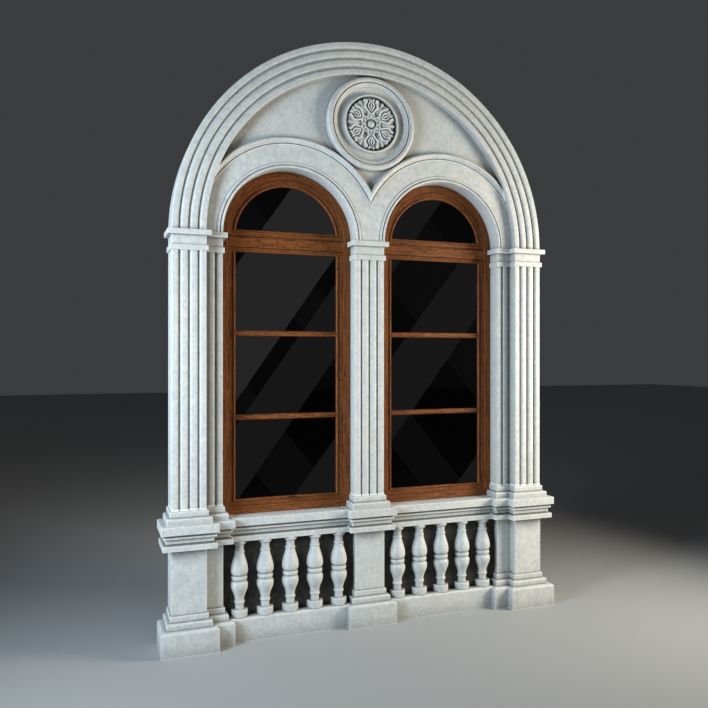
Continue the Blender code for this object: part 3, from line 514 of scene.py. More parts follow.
class Finish:
    """A material and the steps that build its node tree."""

    def __init__(self, name):
        self.material = bpy.data.materials.new(name)
        self.material.use_nodes = True
        self.nodes = self.material.node_tree.nodes
        self.shader = self.nodes["Principled BSDF"]

    def feed(self, socket, value):
        """Links an output to a socket, or sets the socket to a plain number or colour."""
        if isinstance(value, bpy.types.NodeSocket):
            self.material.node_tree.links.new(value, socket)
        elif isinstance(value, float):
            socket.default_value = value
        else:
            socket.default_value = (*value, 1.0)

    def surface(self, name, value):
        """Feeds a socket of the shader."""
        self.feed(self.shader.inputs[name], value)

    def place(self):
        """Coordinates of the piece in metres."""
        return self.nodes.new("ShaderNodeTexCoord").outputs["Object"]

    def grain(self, along, across):
        """Distances along the timber and round it, each times a factor."""
        lengths = self.nodes.new("ShaderNodeUVMap")
        lengths.uv_map = "grain"
        mapping = self.nodes.new("ShaderNodeMapping")
        mapping.inputs["Scale"].default_value = (along, across, 1.0)
        self.feed(mapping.inputs["Vector"], lengths.outputs["UV"])
        return mapping.outputs["Vector"]

    def noise(self, vector, scale=1.0, detail=3.0, roughness=0.5, distortion=0.0):
        """Clouds of values from 0 to 1."""
        node = self.nodes.new("ShaderNodeTexNoise")
        self.feed(node.inputs["Vector"], vector)
        self.feed(node.inputs["Scale"], scale)
        self.feed(node.inputs["Detail"], detail)
        self.feed(node.inputs["Roughness"], roughness)
        self.feed(node.inputs["Distortion"], distortion)
        return node.outputs["Fac"]

    def ramp(self, value, *stops):
        """A colour for each value. Stops are (place, colour) pairs; a colour is three numbers or one grey."""
        node = self.nodes.new("ShaderNodeValToRGB")
        elements = node.color_ramp.elements
        while len(elements) < len(stops):
            elements.new(0.5)
        for element, (place, colour) in zip(elements, stops):
            colour = (colour,) * 3 if isinstance(colour, float) else tuple(colour)
            element.position = place
            element.color = colour + (1.0,)
        self.feed(node.inputs["Fac"], value)
        return node.outputs["Color"]

    def mix(self, kind, colour, other, amount):
        """Puts other on colour: MIX covers it and MULTIPLY darkens it, by an amount from 0 to 1."""
        node = self.nodes.new("ShaderNodeMix")
        node.data_type = "RGBA"
        node.blend_type = kind
        self.feed(node.inputs[MIX_AMOUNT], amount)
        self.feed(node.inputs[MIX_FIRST], colour)
        self.feed(node.inputs[MIX_SECOND], other)
        return node.outputs[MIX_RESULT]

    def relief(self, height, strength, distance, normal=None):
        """Fine unevenness of the surface, on top of an earlier one if that is given."""
        node = self.nodes.new("ShaderNodeBump")
        self.feed(node.inputs["Strength"], strength)
        self.feed(node.inputs["Distance"], distance)
        self.feed(node.inputs["Height"], height)
        if normal is not None:
            self.feed(node.inputs["Normal"], normal)
        return node.outputs["Normal"]

    def openness(self, distance, *stops, inside=False):
        """How open a place is: hollows give the first stop and open faces the last. Looked at from inside the
        piece, outer edges give the first stop and flat faces the last."""
        node = self.nodes.new("ShaderNodeAmbientOcclusion")
        node.samples = 8
        node.inside = inside
        self.feed(node.inputs["Distance"], distance)
        return self.ramp(node.outputs["AO"], *stops)


def stone_finish():
    """Pale honed stone: soft grey clouds, small cream flecks and fine grain, with painted shade in hollows
    and creases and paler edges that are partly wear and partly a painted highlight."""
    colours = bpy.context.scene.finishes
    light, dark = np.array(colours.stone_light), np.array(colours.stone_shade)
    stone = Finish("carved_stone")
    place = stone.place()
    clouds = stone.noise(place, scale=9.0, detail=5.0, roughness=0.60, distortion=0.4)
    flecks = stone.noise(place, scale=31.0, detail=4.0, roughness=0.62, distortion=0.5)
    broad = stone.noise(place, scale=2.2, detail=3.0, roughness=0.5)
    grain = stone.noise(place, scale=210.0, detail=3.0, roughness=0.7)

    colour = stone.ramp(clouds, (0.36, 0.62 * dark + 0.38 * light), (0.62, light))
    colour = stone.mix("MIX", colour, dark, stone.ramp(flecks, (0.36, 1.0), (0.47, 0.0)))
    cream = 1.10 * light * (1.02, 1.0, 0.955)
    colour = stone.mix("MIX", colour, cream, stone.ramp(flecks, (0.54, 0.0), (0.66, 0.75)))
    tone = stone.ramp(broad, (0.35, (0.955, 0.985, 1.0)), (0.65, (1.0, 0.985, 0.955)))
    colour = stone.mix("MULTIPLY", colour, tone, 0.8)
    colour = stone.mix("MULTIPLY", colour, stone.ramp(grain, (0.30, 0.84), (0.50, 1.0)), 0.8)
    # Painted shade: the stone is darker in hollows within reach of other stone, such as under the great arch
    hollow = stone.openness(0.160, (0.20, (0.34, 0.33, 0.31)), (0.92, 1.0))
    colour = stone.mix("MULTIPLY", colour, hollow, 0.85)
    # Painted shade: narrow creases, grooves and the gaps between pieces are darkened
    painted_crease_shade = stone.openness(0.021, (0.38, (0.22, 0.21, 0.20)), (0.78, 1.0))
    colour = stone.mix("MULTIPLY", colour, painted_crease_shade, 0.85)
    # Paler edges: partly wear, partly a painted highlight along the arrises
    worn_and_highlit_edge = stone.openness(0.012, (0.45, 0.95), (0.88, 0.0), inside=True)
    colour = stone.mix("MIX", colour, (0.94, 0.94, 0.92), worn_and_highlit_edge)

    stone.surface("Base Color", colour)
    stone.surface("Roughness", stone.ramp(flecks, (0.3, 0.62), (0.7, 0.46)))
    pitting = stone.relief(flecks, strength=0.18, distance=0.003)
    stone.surface("Normal", stone.relief(grain, strength=0.22, distance=0.0012, normal=pitting))
    return stone.material


def timber_finish():
    """Red brown stain: long grain, darker streaks, pores and dashes along it, growth bands and a few knots,
    with painted shade in the hollows and paler edges that are partly wear and partly a painted highlight."""
    colours = bpy.context.scene.finishes
    light, dark = np.array(colours.timber_light), np.array(colours.timber_dark)
    timber = Finish("stained_timber")
    long_grain = timber.noise(timber.grain(2.4, 60.0), detail=6.0, roughness=0.65, distortion=0.6)
    streaks = timber.noise(timber.grain(5.5, 110.0), detail=4.0, roughness=0.6, distortion=0.4)
    bands = timber.noise(timber.grain(1.6, 20.0), detail=3.0, roughness=0.5, distortion=1.2)
    pores = timber.noise(timber.grain(18.0, 330.0), detail=3.0, roughness=0.6)
    dashes = timber.noise(timber.grain(24.0, 110.0), detail=2.0, roughness=0.5)
    knots = timber.nodes.new("ShaderNodeTexVoronoi")
    timber.feed(knots.inputs["Scale"], 1.0)
    timber.feed(knots.inputs["Vector"], timber.grain(2.6, 11.0))

    middle = 0.70 * light + 0.30 * dark
    colour = timber.ramp(long_grain, (0.32, middle), (0.50, 0.85 * light), (0.68, 1.12 * light))
    colour = timber.mix("MULTIPLY", colour, timber.ramp(bands, (0.36, 0.66), (0.56, 1.0)), 0.85)
    colour = timber.mix("MIX", colour, dark, timber.ramp(streaks, (0.39, 1.0), (0.47, 0.0)))
    colour = timber.mix("MULTIPLY", colour, timber.ramp(pores, (0.36, 0.45), (0.50, 1.0)), 0.7)
    spots = timber.ramp(knots.outputs["Distance"], (0.05, 0.22), (0.15, 1.0))
    colour = timber.mix("MULTIPLY", colour, spots, 0.9)
    colour = timber.mix("MULTIPLY", colour, timber.ramp(dashes, (0.37, 0.22), (0.43, 1.0)), 0.85)
    # Painted shade: the timber is darker in its hollows and rebates
    colour = timber.mix("MULTIPLY", colour, timber.openness(0.016, (0.35, 0.20), (0.80, 1.0)), 0.8)
    # Paler edges: partly wear, partly a painted highlight
    worn_and_highlit_edge = timber.openness(0.005, (0.50, 0.45), (0.88, 0.0), inside=True)
    colour = timber.mix("MIX", colour, 1.7 * light, worn_and_highlit_edge)

    timber.surface("Base Color", colour)
    timber.surface("Roughness", timber.ramp(long_grain, (0.3, 0.66), (0.7, 0.52)))
    timber.shader.inputs["Specular IOR Level"].default_value = 0.2
    ridges = timber.relief(long_grain, strength=0.35, distance=0.0015)
    timber.surface("Normal", timber.relief(pores, strength=0.30, distance=0.0006, normal=ridges))
    return timber.material


def panel_finish():
    """Dark rough rendering with a faint brown cloud and a gritty surface."""
    base = np.array(bpy.context.scene.finishes.panel_colour)
    coat = Finish("dark_render")
    place = coat.place()
    clouds = coat.noise(place, scale=22.0, detail=5.0, roughness=0.65)
    grit = coat.noise(place, scale=95.0, detail=4.0, roughness=0.7)
    colour = coat.ramp(clouds, (0.36, 0.50 * base), (0.64, 1.50 * base * (1.04, 1.0, 0.94)))
    speck = coat.ramp(grit, (0.38, 0.5), (0.60, 1.25))
    coat.surface("Base Color", coat.mix("MULTIPLY", colour, speck, 0.8))
    coat.surface("Roughness", 0.82)
    coat.surface("Normal", coat.relief(grit, strength=0.5, distance=0.002))
    return coat.material


def glass_finish():
    """Deep tinted glass with a slight waviness in its reflections."""
    glass = Finish("tinted_glass")
    glass.surface("Base Color", bpy.context.scene.finishes.glass_tint)
    glass.shader.inputs["Roughness"].default_value = 0.0
    glass.shader.inputs["IOR"].default_value = 1.5
    glass.shader.inputs["Transmission Weight"].default_value = 1.0
    wave = glass.noise(glass.place(), scale=2.4, detail=1.0, roughness=0.4)
    glass.surface("Normal", glass.relief(wave, strength=0.02, distance=0.01))
    return glass.material


def finish_named(name):
    """The material of that name, made when first asked for."""
    found = bpy.data.materials.get(name)
    if found is not None:
        return found
    makers = {"carved_stone": stone_finish, "stained_timber": timber_finish,
              "dark_render": panel_finish, "tinted_glass": glass_finish}
    return makers[name]()


def dress_node(node, name):
    """Gives a CAD node that stays one of the finishes."""
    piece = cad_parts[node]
    piece.data.materials.clear()
    piece.data.materials.append(finish_named(name))


# Stone pieces

class SURROUND_OT_pedestals(bpy.types.Operator):
    """Plinths, base mouldings and dies of the three pedestals"""

    bl_idname = "surround.pedestals"
    bl_label = "Pedestals"

    def execute(self, context):
        profile = pedestal_profile()
        for name, sign in SIDES:
            moulded_block("pedestal_block_" + name, outer_plan(), profile, ["pedestal_" + name], sign)
        moulded_block("pedestal_block_centre", centre_plan(), profile, ["pedestal_centre"])
        return {"FINISHED"}


class SURROUND_OT_caps(bpy.types.Operator):
    """Caps of the pedestals, the sills and rails that run between them, and the panels"""

    bl_idname = "surround.caps"
    bl_label = "Caps and sills"

    def execute(self, context):
        """The sills leave out the caps' first and last points, which lie in flat undersides and tops."""
        profile, rail = cap_profile(), rail_profile()
        sill = profile[1:-1]
        for name, sign in SIDES:
            moulded_block("moulded_cap_" + name, outer_plan(), profile, ["cap_" + name], sign)
            moulded_block("moulded_sill_" + name, bay_plan(), sill, ["sill_" + name], sign, square=True)
            moulded_block("rail_" + name, bay_plan(), rail, ["base_rail_" + name], sign, square=True)
            dress_node("panel_" + name, "dark_render")
        moulded_block("moulded_cap_centre", centre_plan(), profile, ["cap_centre"])
        return {"FINISHED"}


def bead(low, high, base, crest, steps=6):
    """A small half round on a turned shaft, as (radius, height) pairs."""
    return half_oval(low, high, base, crest, steps)[:, ::-1]


def baluster_outline():
    """Radius and height shares of the double vase: foot disc, neck and bead, vase, ring, vase, bead and neck,
    head."""
    foot = soft_line([(0.0, 0.0, 0.0), (0.955, 0.0, 0.030), (0.965, 0.094, 0.034), (0.53, 0.097, 0.004),
                      (0.505, 0.125, 0.0)], 5)
    lower = spline([(0.53, 0.217), (0.565, 0.245), (0.655, 0.285), (0.80, 0.325), (0.94, 0.368),
                    (0.997, 0.405), (0.99, 0.435), (0.92, 0.458), (0.80, 0.4715)])
    upper = spline([(0.80, 0.5495), (0.92, 0.562), (0.99, 0.588), (0.998, 0.622), (0.945, 0.668),
                    (0.84, 0.714), (0.71, 0.762), (0.60, 0.806), (0.54, 0.838)])
    head = soft_line([(0.505, 0.925, 0.0), (0.53, 0.940, 0.012), (0.66, 0.957, 0.006), (0.745, 0.961, 0.002),
                      (0.79, 0.967, 0.006), (0.79, 1.0, 0.0), (0.0, 1.0, 0.0)])
    shares = np.concatenate([
        foot, [(0.50, 0.150), (0.505, 0.172), (0.57, 0.174)], bead(0.176, 0.204, 0.575, 0.62),
        [(0.57, 0.206), (0.575, 0.213)], lower, [(0.775, 0.478)], bead(0.484, 0.537, 0.84, 0.925, 10),
        [(0.775, 0.543)], upper, [(0.575, 0.841)], bead(0.843, 0.862, 0.575, 0.615),
        [(0.57, 0.864), (0.51, 0.867), (0.50, 0.895)], head])
    return shares * (bpy.context.scene.stone_sizes.baluster_radius, CAP_LOW - PLINTH_TOP - 2 * SEAM)


BALUSTER_SIDES = 56


class SURROUND_OT_balusters(bpy.types.Operator):
    """Turned balusters, flat where they meet the panel"""

    bl_idname = "surround.balusters"
    bl_label = "Balusters"

    def execute(self, context):
        """The outline is turned round an upright axis, and what would enter the panel stops at its face."""
        outline = baluster_outline()
        axis = FRONT + context.scene.stone_sizes.baluster_back
        turn = np.linspace(0.0, 2 * math.pi, BALUSTER_SIDES, endpoint=False)
        quads = grid_quads(len(outline), BALUSTER_SIDES, wrap_columns=True)
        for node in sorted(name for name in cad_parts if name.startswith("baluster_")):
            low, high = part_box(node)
            x = (low.x + high.x) / 2 + outline[:, :1] * np.cos(turn)
            y = np.minimum(axis + outline[:, :1] * np.sin(turn), PANEL_FACE - SEAM)
            z = low.z + np.broadcast_to(outline[:, 1:], x.shape)
            write_mesh("turned_" + node, np.stack([x, y, z], axis=-1), quads, [], "carved_stone", [node],
                       angle=32.0, weighted=False)
        return {"FINISHED"}


SHAFT_LEVELS = 9


class SURROUND_OT_pilasters(bpy.types.Operator):
    """Bases, fluted shafts and capitals"""

    bl_idname = "surround.pilasters"
    bl_label = "Pilasters"

    def outer_shaft(self):
        """Plan of the outer pilaster with the narrow one beside it, whose first groove is cut in half."""
        sizes = bpy.context.scene.stone_sizes
        inner = ARCH_OUTER - sizes.shaft_width
        width, low = inner - SHAFT_EDGE, INNER_FACE + sizes.flute_depth
        first, second = (flute(SHAFT_EDGE + share * width, INNER_FACE) for share in SLIM_FLUTES)
        corner = soft_corner((ARCH_OUTER, BACK), (ARCH_OUTER, MAIN_FACE), (ARCH_OUTER - LEAD, MAIN_FACE))
        turn = soft_corner((inner + LEAD, MAIN_FACE), (inner, MAIN_FACE), (inner, low))
        last = soft_corner((SHAFT_EDGE + LEAD, INNER_FACE), (SHAFT_EDGE, INNER_FACE), (SHAFT_EDGE, BACK))
        return np.concatenate([corner[:-1], fluted_face(inner, ARCH_OUTER, MAIN_FACE), turn[1:-1],
                               [(inner, low)], first[len(first) // 2:], second, last[1:]])

    def centre_shaft(self):
        """Plan of the middle pilaster: its left corner is the right one turned over."""
        corner = soft_corner((CENTRE_HALF, BACK), (CENTRE_HALF, INNER_FACE), (CENTRE_HALF - LEAD, INNER_FACE))
        face = fluted_face(-CENTRE_HALF, CENTRE_HALF, INNER_FACE)
        return np.concatenate([corner[:-1], face, (corner[:-1] * (-1.0, 1.0))[::-1]])

    def raise_shaft(self, name, plan, node, sign=1.0):
        """The same plan at even levels from the base to the capital."""
        points = np.empty((SHAFT_LEVELS, len(plan), 3))
        points[..., :2] = plan
        points[..., 2] = np.linspace(SHAFT_LOW, SHAFT_HIGH, SHAFT_LEVELS)[:, None]
        loop_piece(name, mirrored(points, sign), "carved_stone", [node], angle=50.0)

    def execute(self, context):
        feet = soft_profile(foot_corners(CAP_TOP + SEAM, 0.030), steps=6)
        capital = capital_profile()
        for name, sign in SIDES:
            plan = outer_plan(notched=True)
            moulded_block("foot_" + name, plan, feet, ["pilaster_base_" + name], sign)
            self.raise_shaft("fluted_shaft_" + name, self.outer_shaft(), "pilaster_" + name, sign)
            moulded_block("carved_capital_" + name, plan, capital, ["capital_" + name], sign)
        plan = centre_plan(notched=True)
        moulded_block("foot_centre", plan, feet, ["pilaster_base_centre"])
        self.raise_shaft("fluted_shaft_centre", self.centre_shaft(), "pilaster_centre")
        moulded_block("carved_capital_centre", plan, capital, ["capital_centre"])
        return {"FINISHED"}


ARCH_STEPS = 160


class SURROUND_OT_great_arch(bpy.types.Operator):
    """Fluted arch over both windows"""

    bl_idname = "surround.great_arch"
    bl_label = "Great arch"

    def execute(self, context):
        """The front of an outer shaft, turned half round over the springing."""
        inner = ARCH_OUTER - context.scene.stone_sizes.shaft_width
        side = MAIN_FACE + ARCH_SIDE
        outer_edge = soft_corner((ARCH_OUTER, side), (ARCH_OUTER, MAIN_FACE), (ARCH_OUTER - LEAD, MAIN_FACE))
        inner_edge = soft_corner((inner + LEAD, MAIN_FACE), (inner, MAIN_FACE), (inner, side))
        band = fluted_face(inner, ARCH_OUTER, MAIN_FACE)
        section = np.concatenate([outer_edge[:-1], band, inner_edge[1:]])
        turn = np.linspace(0.0, math.pi, ARCH_STEPS + 1)[:, None]
        slab_piece("fluted_arch", turned(section, 0.0, ARCH_BASE, turn), BACK, "carved_stone", ["great_arch"],
                   angle=50.0)
        return {"FINISHED"}


SMALL_ARCH_STEPS = 120


def archivolt_section():
    """Radius and depth of the small arches: roll, groove, bead, flat band, bead, groove and outer roll. The
    edge mouldings are written from the opening and the outer edge, and from the face of the band."""
    sizes = bpy.context.scene.stone_sizes
    band, outer = FRONT + sizes.band_depth, OPENING + sizes.archivolt_width
    crest, reach = ROLL_CREST - band, ARCH_OUTER - sizes.shaft_width - SEAM - BAY_CENTRE
    inner_edge = np.concatenate([
        quarter((0.0, 0.006), (0.010, -0.010), 5),
        quarter((0.010, -0.010), (0.022, 0.001), 5, swell_first=False),
        [(0.0265, 0.0015)], half_oval(0.029, 0.047, 0.0, -0.007),
        [(0.050, 0.0015), (0.060, 0.0), (0.12, 0.0)]])
    outer_edge = np.concatenate([
        half_oval(-0.066, -0.056, 0.0, -0.004), [(-0.0545, 0.004), (-0.0525, 0.004), (-0.050, -0.001)],
        spline([(-0.0485, -0.004), (-0.043, -0.009), (-0.035, -0.019), (-0.027, crest + 0.003),
                (-0.020, crest)], 3),
        quarter((-0.019, crest), (0.0, crest + 0.034), 8, swell_first=False)])
    # More radii where the band runs along the great arch, closest together where it first meets it
    spread = reach + (outer - 0.080 - reach) * np.linspace(0.0, 1.0, 8) ** 2
    radii = np.append(BAY_CENTRE, spread)
    flat = np.stack([radii, np.full(radii.shape, band)], axis=1)
    return np.concatenate([inner_edge + (OPENING, band), flat, outer_edge + (outer, band)])


class SURROUND_OT_small_arches(bpy.types.Operator):
    """Two moulded arches that meet over the middle pilaster and stop on the great arch"""

    bl_idname = "surround.small_arches"
    bl_label = "Small arches"

    def execute(self, context):
        """Radius r about the left bay's centre, at distance c from the middle, starts on the middle plane, at
        the angle whose cosine is c / r. It ends where it is as far from the middle as the inside of the great
        arch."""
        limit = ARCH_OUTER - context.scene.stone_sizes.shaft_width - SEAM
        section = archivolt_section()
        radii = section[:, 0]
        start = np.arccos(np.clip(BAY_CENTRE / radii, -1.0, 1.0))
        meeting = (radii ** 2 - limit ** 2 - BAY_CENTRE ** 2) / (2 * BAY_CENTRE)
        end = np.where(radii + BAY_CENTRE <= limit, math.pi,
                       np.arccos(np.clip((meeting + BAY_CENTRE) / radii, -1.0, 1.0)))
        turn = start + (end - start) * np.linspace(0.0, 1.0, SMALL_ARCH_STEPS + 1)[:, None]
        front = turned(section, -BAY_CENTRE, ARCH_BASE, turn)
        rows, columns = front.shape[:2]
        index = np.arange(rows * columns).reshape(rows, columns)
        low = index[0, radii <= BAY_CENTRE]
        quads = slab_quads(rows, columns, (index[:, 0], index[:, -1], index[-1], low))
        half = with_rear(front, BACK)
        points = np.concatenate([half, mirrored(half, -1.0)])
        quads = np.concatenate([quads, quads[:, ::-1] + len(half)])
        write_mesh("moulded_arches", points, quads, [], "carved_stone", ["archivolts"], angle=42.0)
        return {"FINISHED"}


TYMPANUM_COLUMNS, TYMPANUM_ROWS = 181, 9


class SURROUND_OT_tympanum(bpy.types.Operator):
    """Plain wall between the great arch and the small ones"""

    bl_idname = "surround.tympanum"
    bl_label = "Tympanum"

    def execute(self, context):
        """The lower edge is the top of the small arches, the upper edge the inside of the great one."""
        sizes = context.scene.stone_sizes
        reach = ARCH_OUTER - sizes.shaft_width - SEAM
        small = OPENING + sizes.archivolt_width + SEAM
        corner = (small ** 2 - reach ** 2 - BAY_CENTRE ** 2) / (2 * BAY_CENTRE)
        x = corner * np.cos(np.linspace(0.0, math.pi, TYMPANUM_COLUMNS))
        x[TYMPANUM_COLUMNS // 2] = 0.0
        low = ARCH_BASE + np.sqrt(np.maximum(small ** 2 - (np.abs(x) - BAY_CENTRE) ** 2, 0.0))
        high = np.maximum(ARCH_BASE + np.sqrt(reach ** 2 - x ** 2), low)
        z = low + (high - low) * np.linspace(0.0, 1.0, TYMPANUM_ROWS)[:, None]
        front = np.stack([np.broadcast_to(x, z.shape), np.full(z.shape, WALL_FACE), z], axis=-1)
        slab_piece("tympanum_wall", front, BACK, "carved_stone", ["tympanum"], angle=30.0)
        return {"FINISHED"}


ROUNDEL_SIDES = 160


class SURROUND_OT_roundel(bpy.types.Operator):
    """Moulded ring of the roundel"""

    bl_idname = "surround.roundel"
    bl_label = "Roundel"

    def execute(self, context):
        """A thin inner ring, a sloping dish, a bead, a groove and a round rim, turned about the roundel's
        centre. Depths are written from the crest of the rim."""
        eye, rim = context.scene.stone_sizes.eye_radius, ROUNDEL_RADIUS
        ring = np.concatenate([
            quarter((0.0, 0.018), (0.006, 0.010), 4), [(0.009, 0.010)],
            quarter((0.012, 0.010), (0.020, 0.032), 6, swell_first=False)])
        dish = spline([(eye + 0.026, 0.045), (eye + 0.038, 0.046), (eye + 0.076, 0.036), (rim - 0.085, 0.024),
                       (rim - 0.066, 0.015)])
        edge = np.concatenate([
            half_oval(-0.064, -0.057, 0.015, 0.011, 5), [(-0.0555, 0.018), (-0.0500, 0.018)],
            quarter((-0.048, 0.011), (-0.026, 0.0), 6),
            quarter((-0.026, 0.0), (0.0, 0.034), 10, swell_first=False)])
        section = np.concatenate([ring + (eye, 0.0), dish, edge + (rim, 0.0)]) + (0.0, ROUNDEL_CREST)
        turn = np.linspace(0.0, 2 * math.pi, ROUNDEL_SIDES, endpoint=False)[:, None]
        slab_piece("roundel_ring", turned(section, 0.0, ROUNDEL_HEIGHT, turn), ROSETTE_BACK, "carved_stone",
                   ["roundel"], wrap=True, angle=42.0)
        return {"FINISHED"}


# Carving of the rosette. Lengths are shares of its radius and heights are shares of its relief

LEAVES = 6
# Half of a leaf, as (across, along) pairs: its outline and the stroke inside it
LEAF_OUTLINE = ((0.050, 0.38), (0.105, 0.47), (0.190, 0.56), (0.262, 0.66), (0.262, 0.76), (0.205, 0.84),
                (0.200, 0.91), (0.270, 0.975))
LEAF_SCROLL = ((0.020, 0.52), (0.075, 0.60), (0.120, 0.69), (0.110, 0.78), (0.060, 0.87), (0.085, 0.97))
# The button, the hollow round it, the cup's edge, and the centre of the fans over the cup
BUTTON, HOLLOW, CUP_EDGE, FAN_CENTRE = 0.162, 0.208, 0.236, 0.27
ROSETTE_RINGS, ROSETTE_SIDES = 113, 720
# Thickness of the rosette's rim in metres
ROSETTE_RIM = 0.004


def hill(value, centre, width):
    """A smooth bump: e to the power of minus the squared distance in widths."""
    return np.exp(-((value - centre) / width) ** 2)


def wave(turn):
    """A wave between 0 and 1: half of 1 + cos turn."""
    return 0.5 + 0.5 * np.cos(turn)


def step_up(value, start, end):
    """Smooth step from 0 at start to 1 at end: t t (3 - 2t)."""
    t = np.clip((value - start) / (end - start), 0.0, 1.0)
    return t * t * (3 - 2 * t)


def blend(first, second, share):
    """The first height where share is 0, the second where it is 1."""
    return first * (1 - share) + second * share


def ridge_distance(x, y, path):
    """Shortest distance from each point (x, y) to a line of points."""
    best = np.full(x.shape, np.inf)
    for (a, b), (u, v) in zip(path[:-1], np.diff(path, axis=0)):
        along = np.clip(((x - a) * u + (y - b) * v) / (u * u + v * v), 0.0, 1.0)
        best = np.minimum(best, np.hypot(x - a - along * u, y - b - along * v))
    return best


def plume_height(share, off):
    """Ground between the leaves: it rises towards the rim, and its ribs are a wave of the distance off the
    plume's middle, which spreads with the radius."""
    ribs = wave(1.9 * off / (0.020 + 0.060 * share))
    return 0.24 + 0.18 * step_up(share, 0.40, 0.75) + 0.26 * ribs * step_up(share, 0.40, 0.60)


def leaf_height(ground, across, along):
    """A leaf on the ground. Ridges follow its outline and the stroke inside it and a drop stands in its
    middle, each a hill of the distance from its line. Its rim has wavy tips."""
    outline, scroll = spline(LEAF_OUTLINE, 4), spline(LEAF_SCROLL, 4)
    half_width = np.interp(along, outline[:, 1], outline[:, 0])
    inside = step_up(half_width - across, -0.035, 0.015) * step_up(along, 0.37, 0.46)
    height = blend(ground, 0.34 + 0.10 * step_up(along, 0.45, 0.70), inside)
    height += 0.42 * hill(ridge_distance(across, along, outline), 0.0, 0.040)
    height += 0.30 * hill(ridge_distance(across, along, scroll), 0.0, 0.026)
    height += 0.30 * hill(np.hypot(across, (along - 0.70) * 0.22), 0.0, 0.030)
    tips = wave(2 * math.pi * across / 0.105)
    return height + 0.34 * tips * step_up(along, 0.84, 0.92) * inside


def cup_height(height, share, angle, across, along):
    """Small petals round the cup, a scalloped fan at the root of each leaf, the cup's edge, a hollow and the
    button, which is part of a ball."""
    petals = 0.38 + 0.24 * np.abs(np.cos(angle * LEAVES)) * hill(share, 0.31, 0.055)
    height = blend(petals, height, step_up(share, 0.33, 0.42))
    fan = hill(np.hypot(across, along - FAN_CENTRE), 0.155, 0.040) * (along > 0.30)
    scallops = wave(7 * np.arctan2(across, along - FAN_CENTRE))
    height = np.maximum(height, (0.42 + 0.28 * scallops) * fan)
    height = np.maximum(height, 0.56 * hill(share, CUP_EDGE, 0.022))
    height = np.where(share < HOLLOW, 0.06, height)
    return np.maximum(height, 0.95 * np.sqrt(np.clip(1.0 - (share / BUTTON) ** 2, 0.0, 1.0)))


def rosette_height(share, angle):
    """Carving of the flower, from 0 to 1, for a radius share and an angle. Six leaves stand at 30, 90, 150
    degrees and so on, with ribbed plumes between them, and the cup and button lie in the middle. Across and
    along are measured from the middle line of the nearest leaf."""
    sector = 2 * math.pi / LEAVES
    turn = angle % sector - sector / 2
    across, along = np.abs(share * np.sin(turn)), share * np.cos(turn)
    ground = plume_height(share, share * np.sin(sector / 2 - np.abs(turn)))
    height = cup_height(leaf_height(ground, across, along), share, angle, across, along)
    rim = 1.0 - 0.40 * step_up(share, 0.955 + 0.012 * np.cos(angle * 36), 1.0)
    return np.clip(height * rim, 0.02, 1.0)


class SURROUND_OT_rosette(bpy.types.Operator):
    """Carved flower in the eye of the roundel"""

    bl_idname = "surround.rosette"
    bl_label = "Rosette"

    def execute(self, context):
        """Rings of points from the middle to a faintly wavy rim, lifted by the carving, over a flat back."""
        share = np.linspace(0.0, 1.0, ROSETTE_RINGS)[:, None]
        turn = np.linspace(0.0, 2 * math.pi, ROSETTE_SIDES, endpoint=False)[None]
        size = (ROSETTE_RINGS, ROSETTE_SIDES)
        carving = rosette_height(np.broadcast_to(share, size), np.broadcast_to(turn, size))
        radius = ROSETTE_RADIUS * share * (0.985 + 0.015 * np.cos(turn * 30) * step_up(share, 0.8, 1.0))
        base = ROSETTE_BACK - ROSETTE_RIM
        y = base + (ROSETTE_CREST - base) * carving
        front = np.stack([radius * np.cos(turn), y, ROUNDEL_HEIGHT + radius * np.sin(turn)], axis=-1)
        front[0] = (0.0, ROSETTE_CREST, ROUNDEL_HEIGHT)
        rear = front[-1:].copy()
        rear[..., 1] = ROSETTE_BACK
        middle = np.full((1, ROSETTE_SIDES, 3), (0.0, ROSETTE_BACK, ROUNDEL_HEIGHT))
        points = np.concatenate([front, rear, middle])
        quads = grid_quads(len(points), ROSETTE_SIDES, wrap_columns=True)
        write_mesh("carved_rosette", points, quads, [], "carved_stone", ["rosette"], angle=60.0,
                   weighted=False)
        return {"FINISHED"}


# Windows

# Steps over a half circle, and steps along each straight side
ROUND_STEPS, SIDE_STEPS = 72, 8
TIMBER_ANGLE = 35.0
# Factors of a piece's place that give each piece its own stretch of the grain
GRAIN_X, GRAIN_Z = 3.7, 1.9


def grain_lengths(points, wrap_rows):
    """Distance along the rows' path and round the first row's section for each quad corner. Both start from a
    value that depends on the piece's place."""
    rows, columns = points.shape[:2]
    path = np.concatenate([points, points[:1]]) if wrap_rows else points
    middle = path.mean(axis=1)
    along = np.concatenate([[0.0], np.cumsum(np.linalg.norm(np.diff(middle, axis=0), axis=1))])
    ring = np.concatenate([points[0], points[0, :1]])
    around = np.concatenate([[0.0], np.cumsum(np.linalg.norm(np.diff(ring, axis=0), axis=1))])
    r, c = np.meshgrid(np.arange(rows if wrap_rows else rows - 1), np.arange(columns), indexing="ij")
    corners = [(r, c), (r, c + 1), (r + 1, c + 1), (r + 1, c)]
    offset = points[0, 0, 0] * GRAIN_X + points[0, 0, 2] * GRAIN_Z
    pairs = [np.stack([along[i] + offset, around[j] + offset], axis=-1) for i, j in corners]
    return np.stack(pairs, axis=2).reshape(-1, 4, 2)


def timber_ring(name, path, depths, node):
    """A section carried round a closed path: path holds x and z for each row and section point, and depths
    holds y."""
    x, z = path
    points = np.stack([x, np.broadcast_to(depths, x.shape), z], axis=-1)
    quads = grid_quads(*x.shape, wrap_rows=True, wrap_columns=True)
    write_mesh(name, points, quads, [], "stained_timber", [node], angle=TIMBER_ANGLE,
               lengths=grain_lengths(points, True))


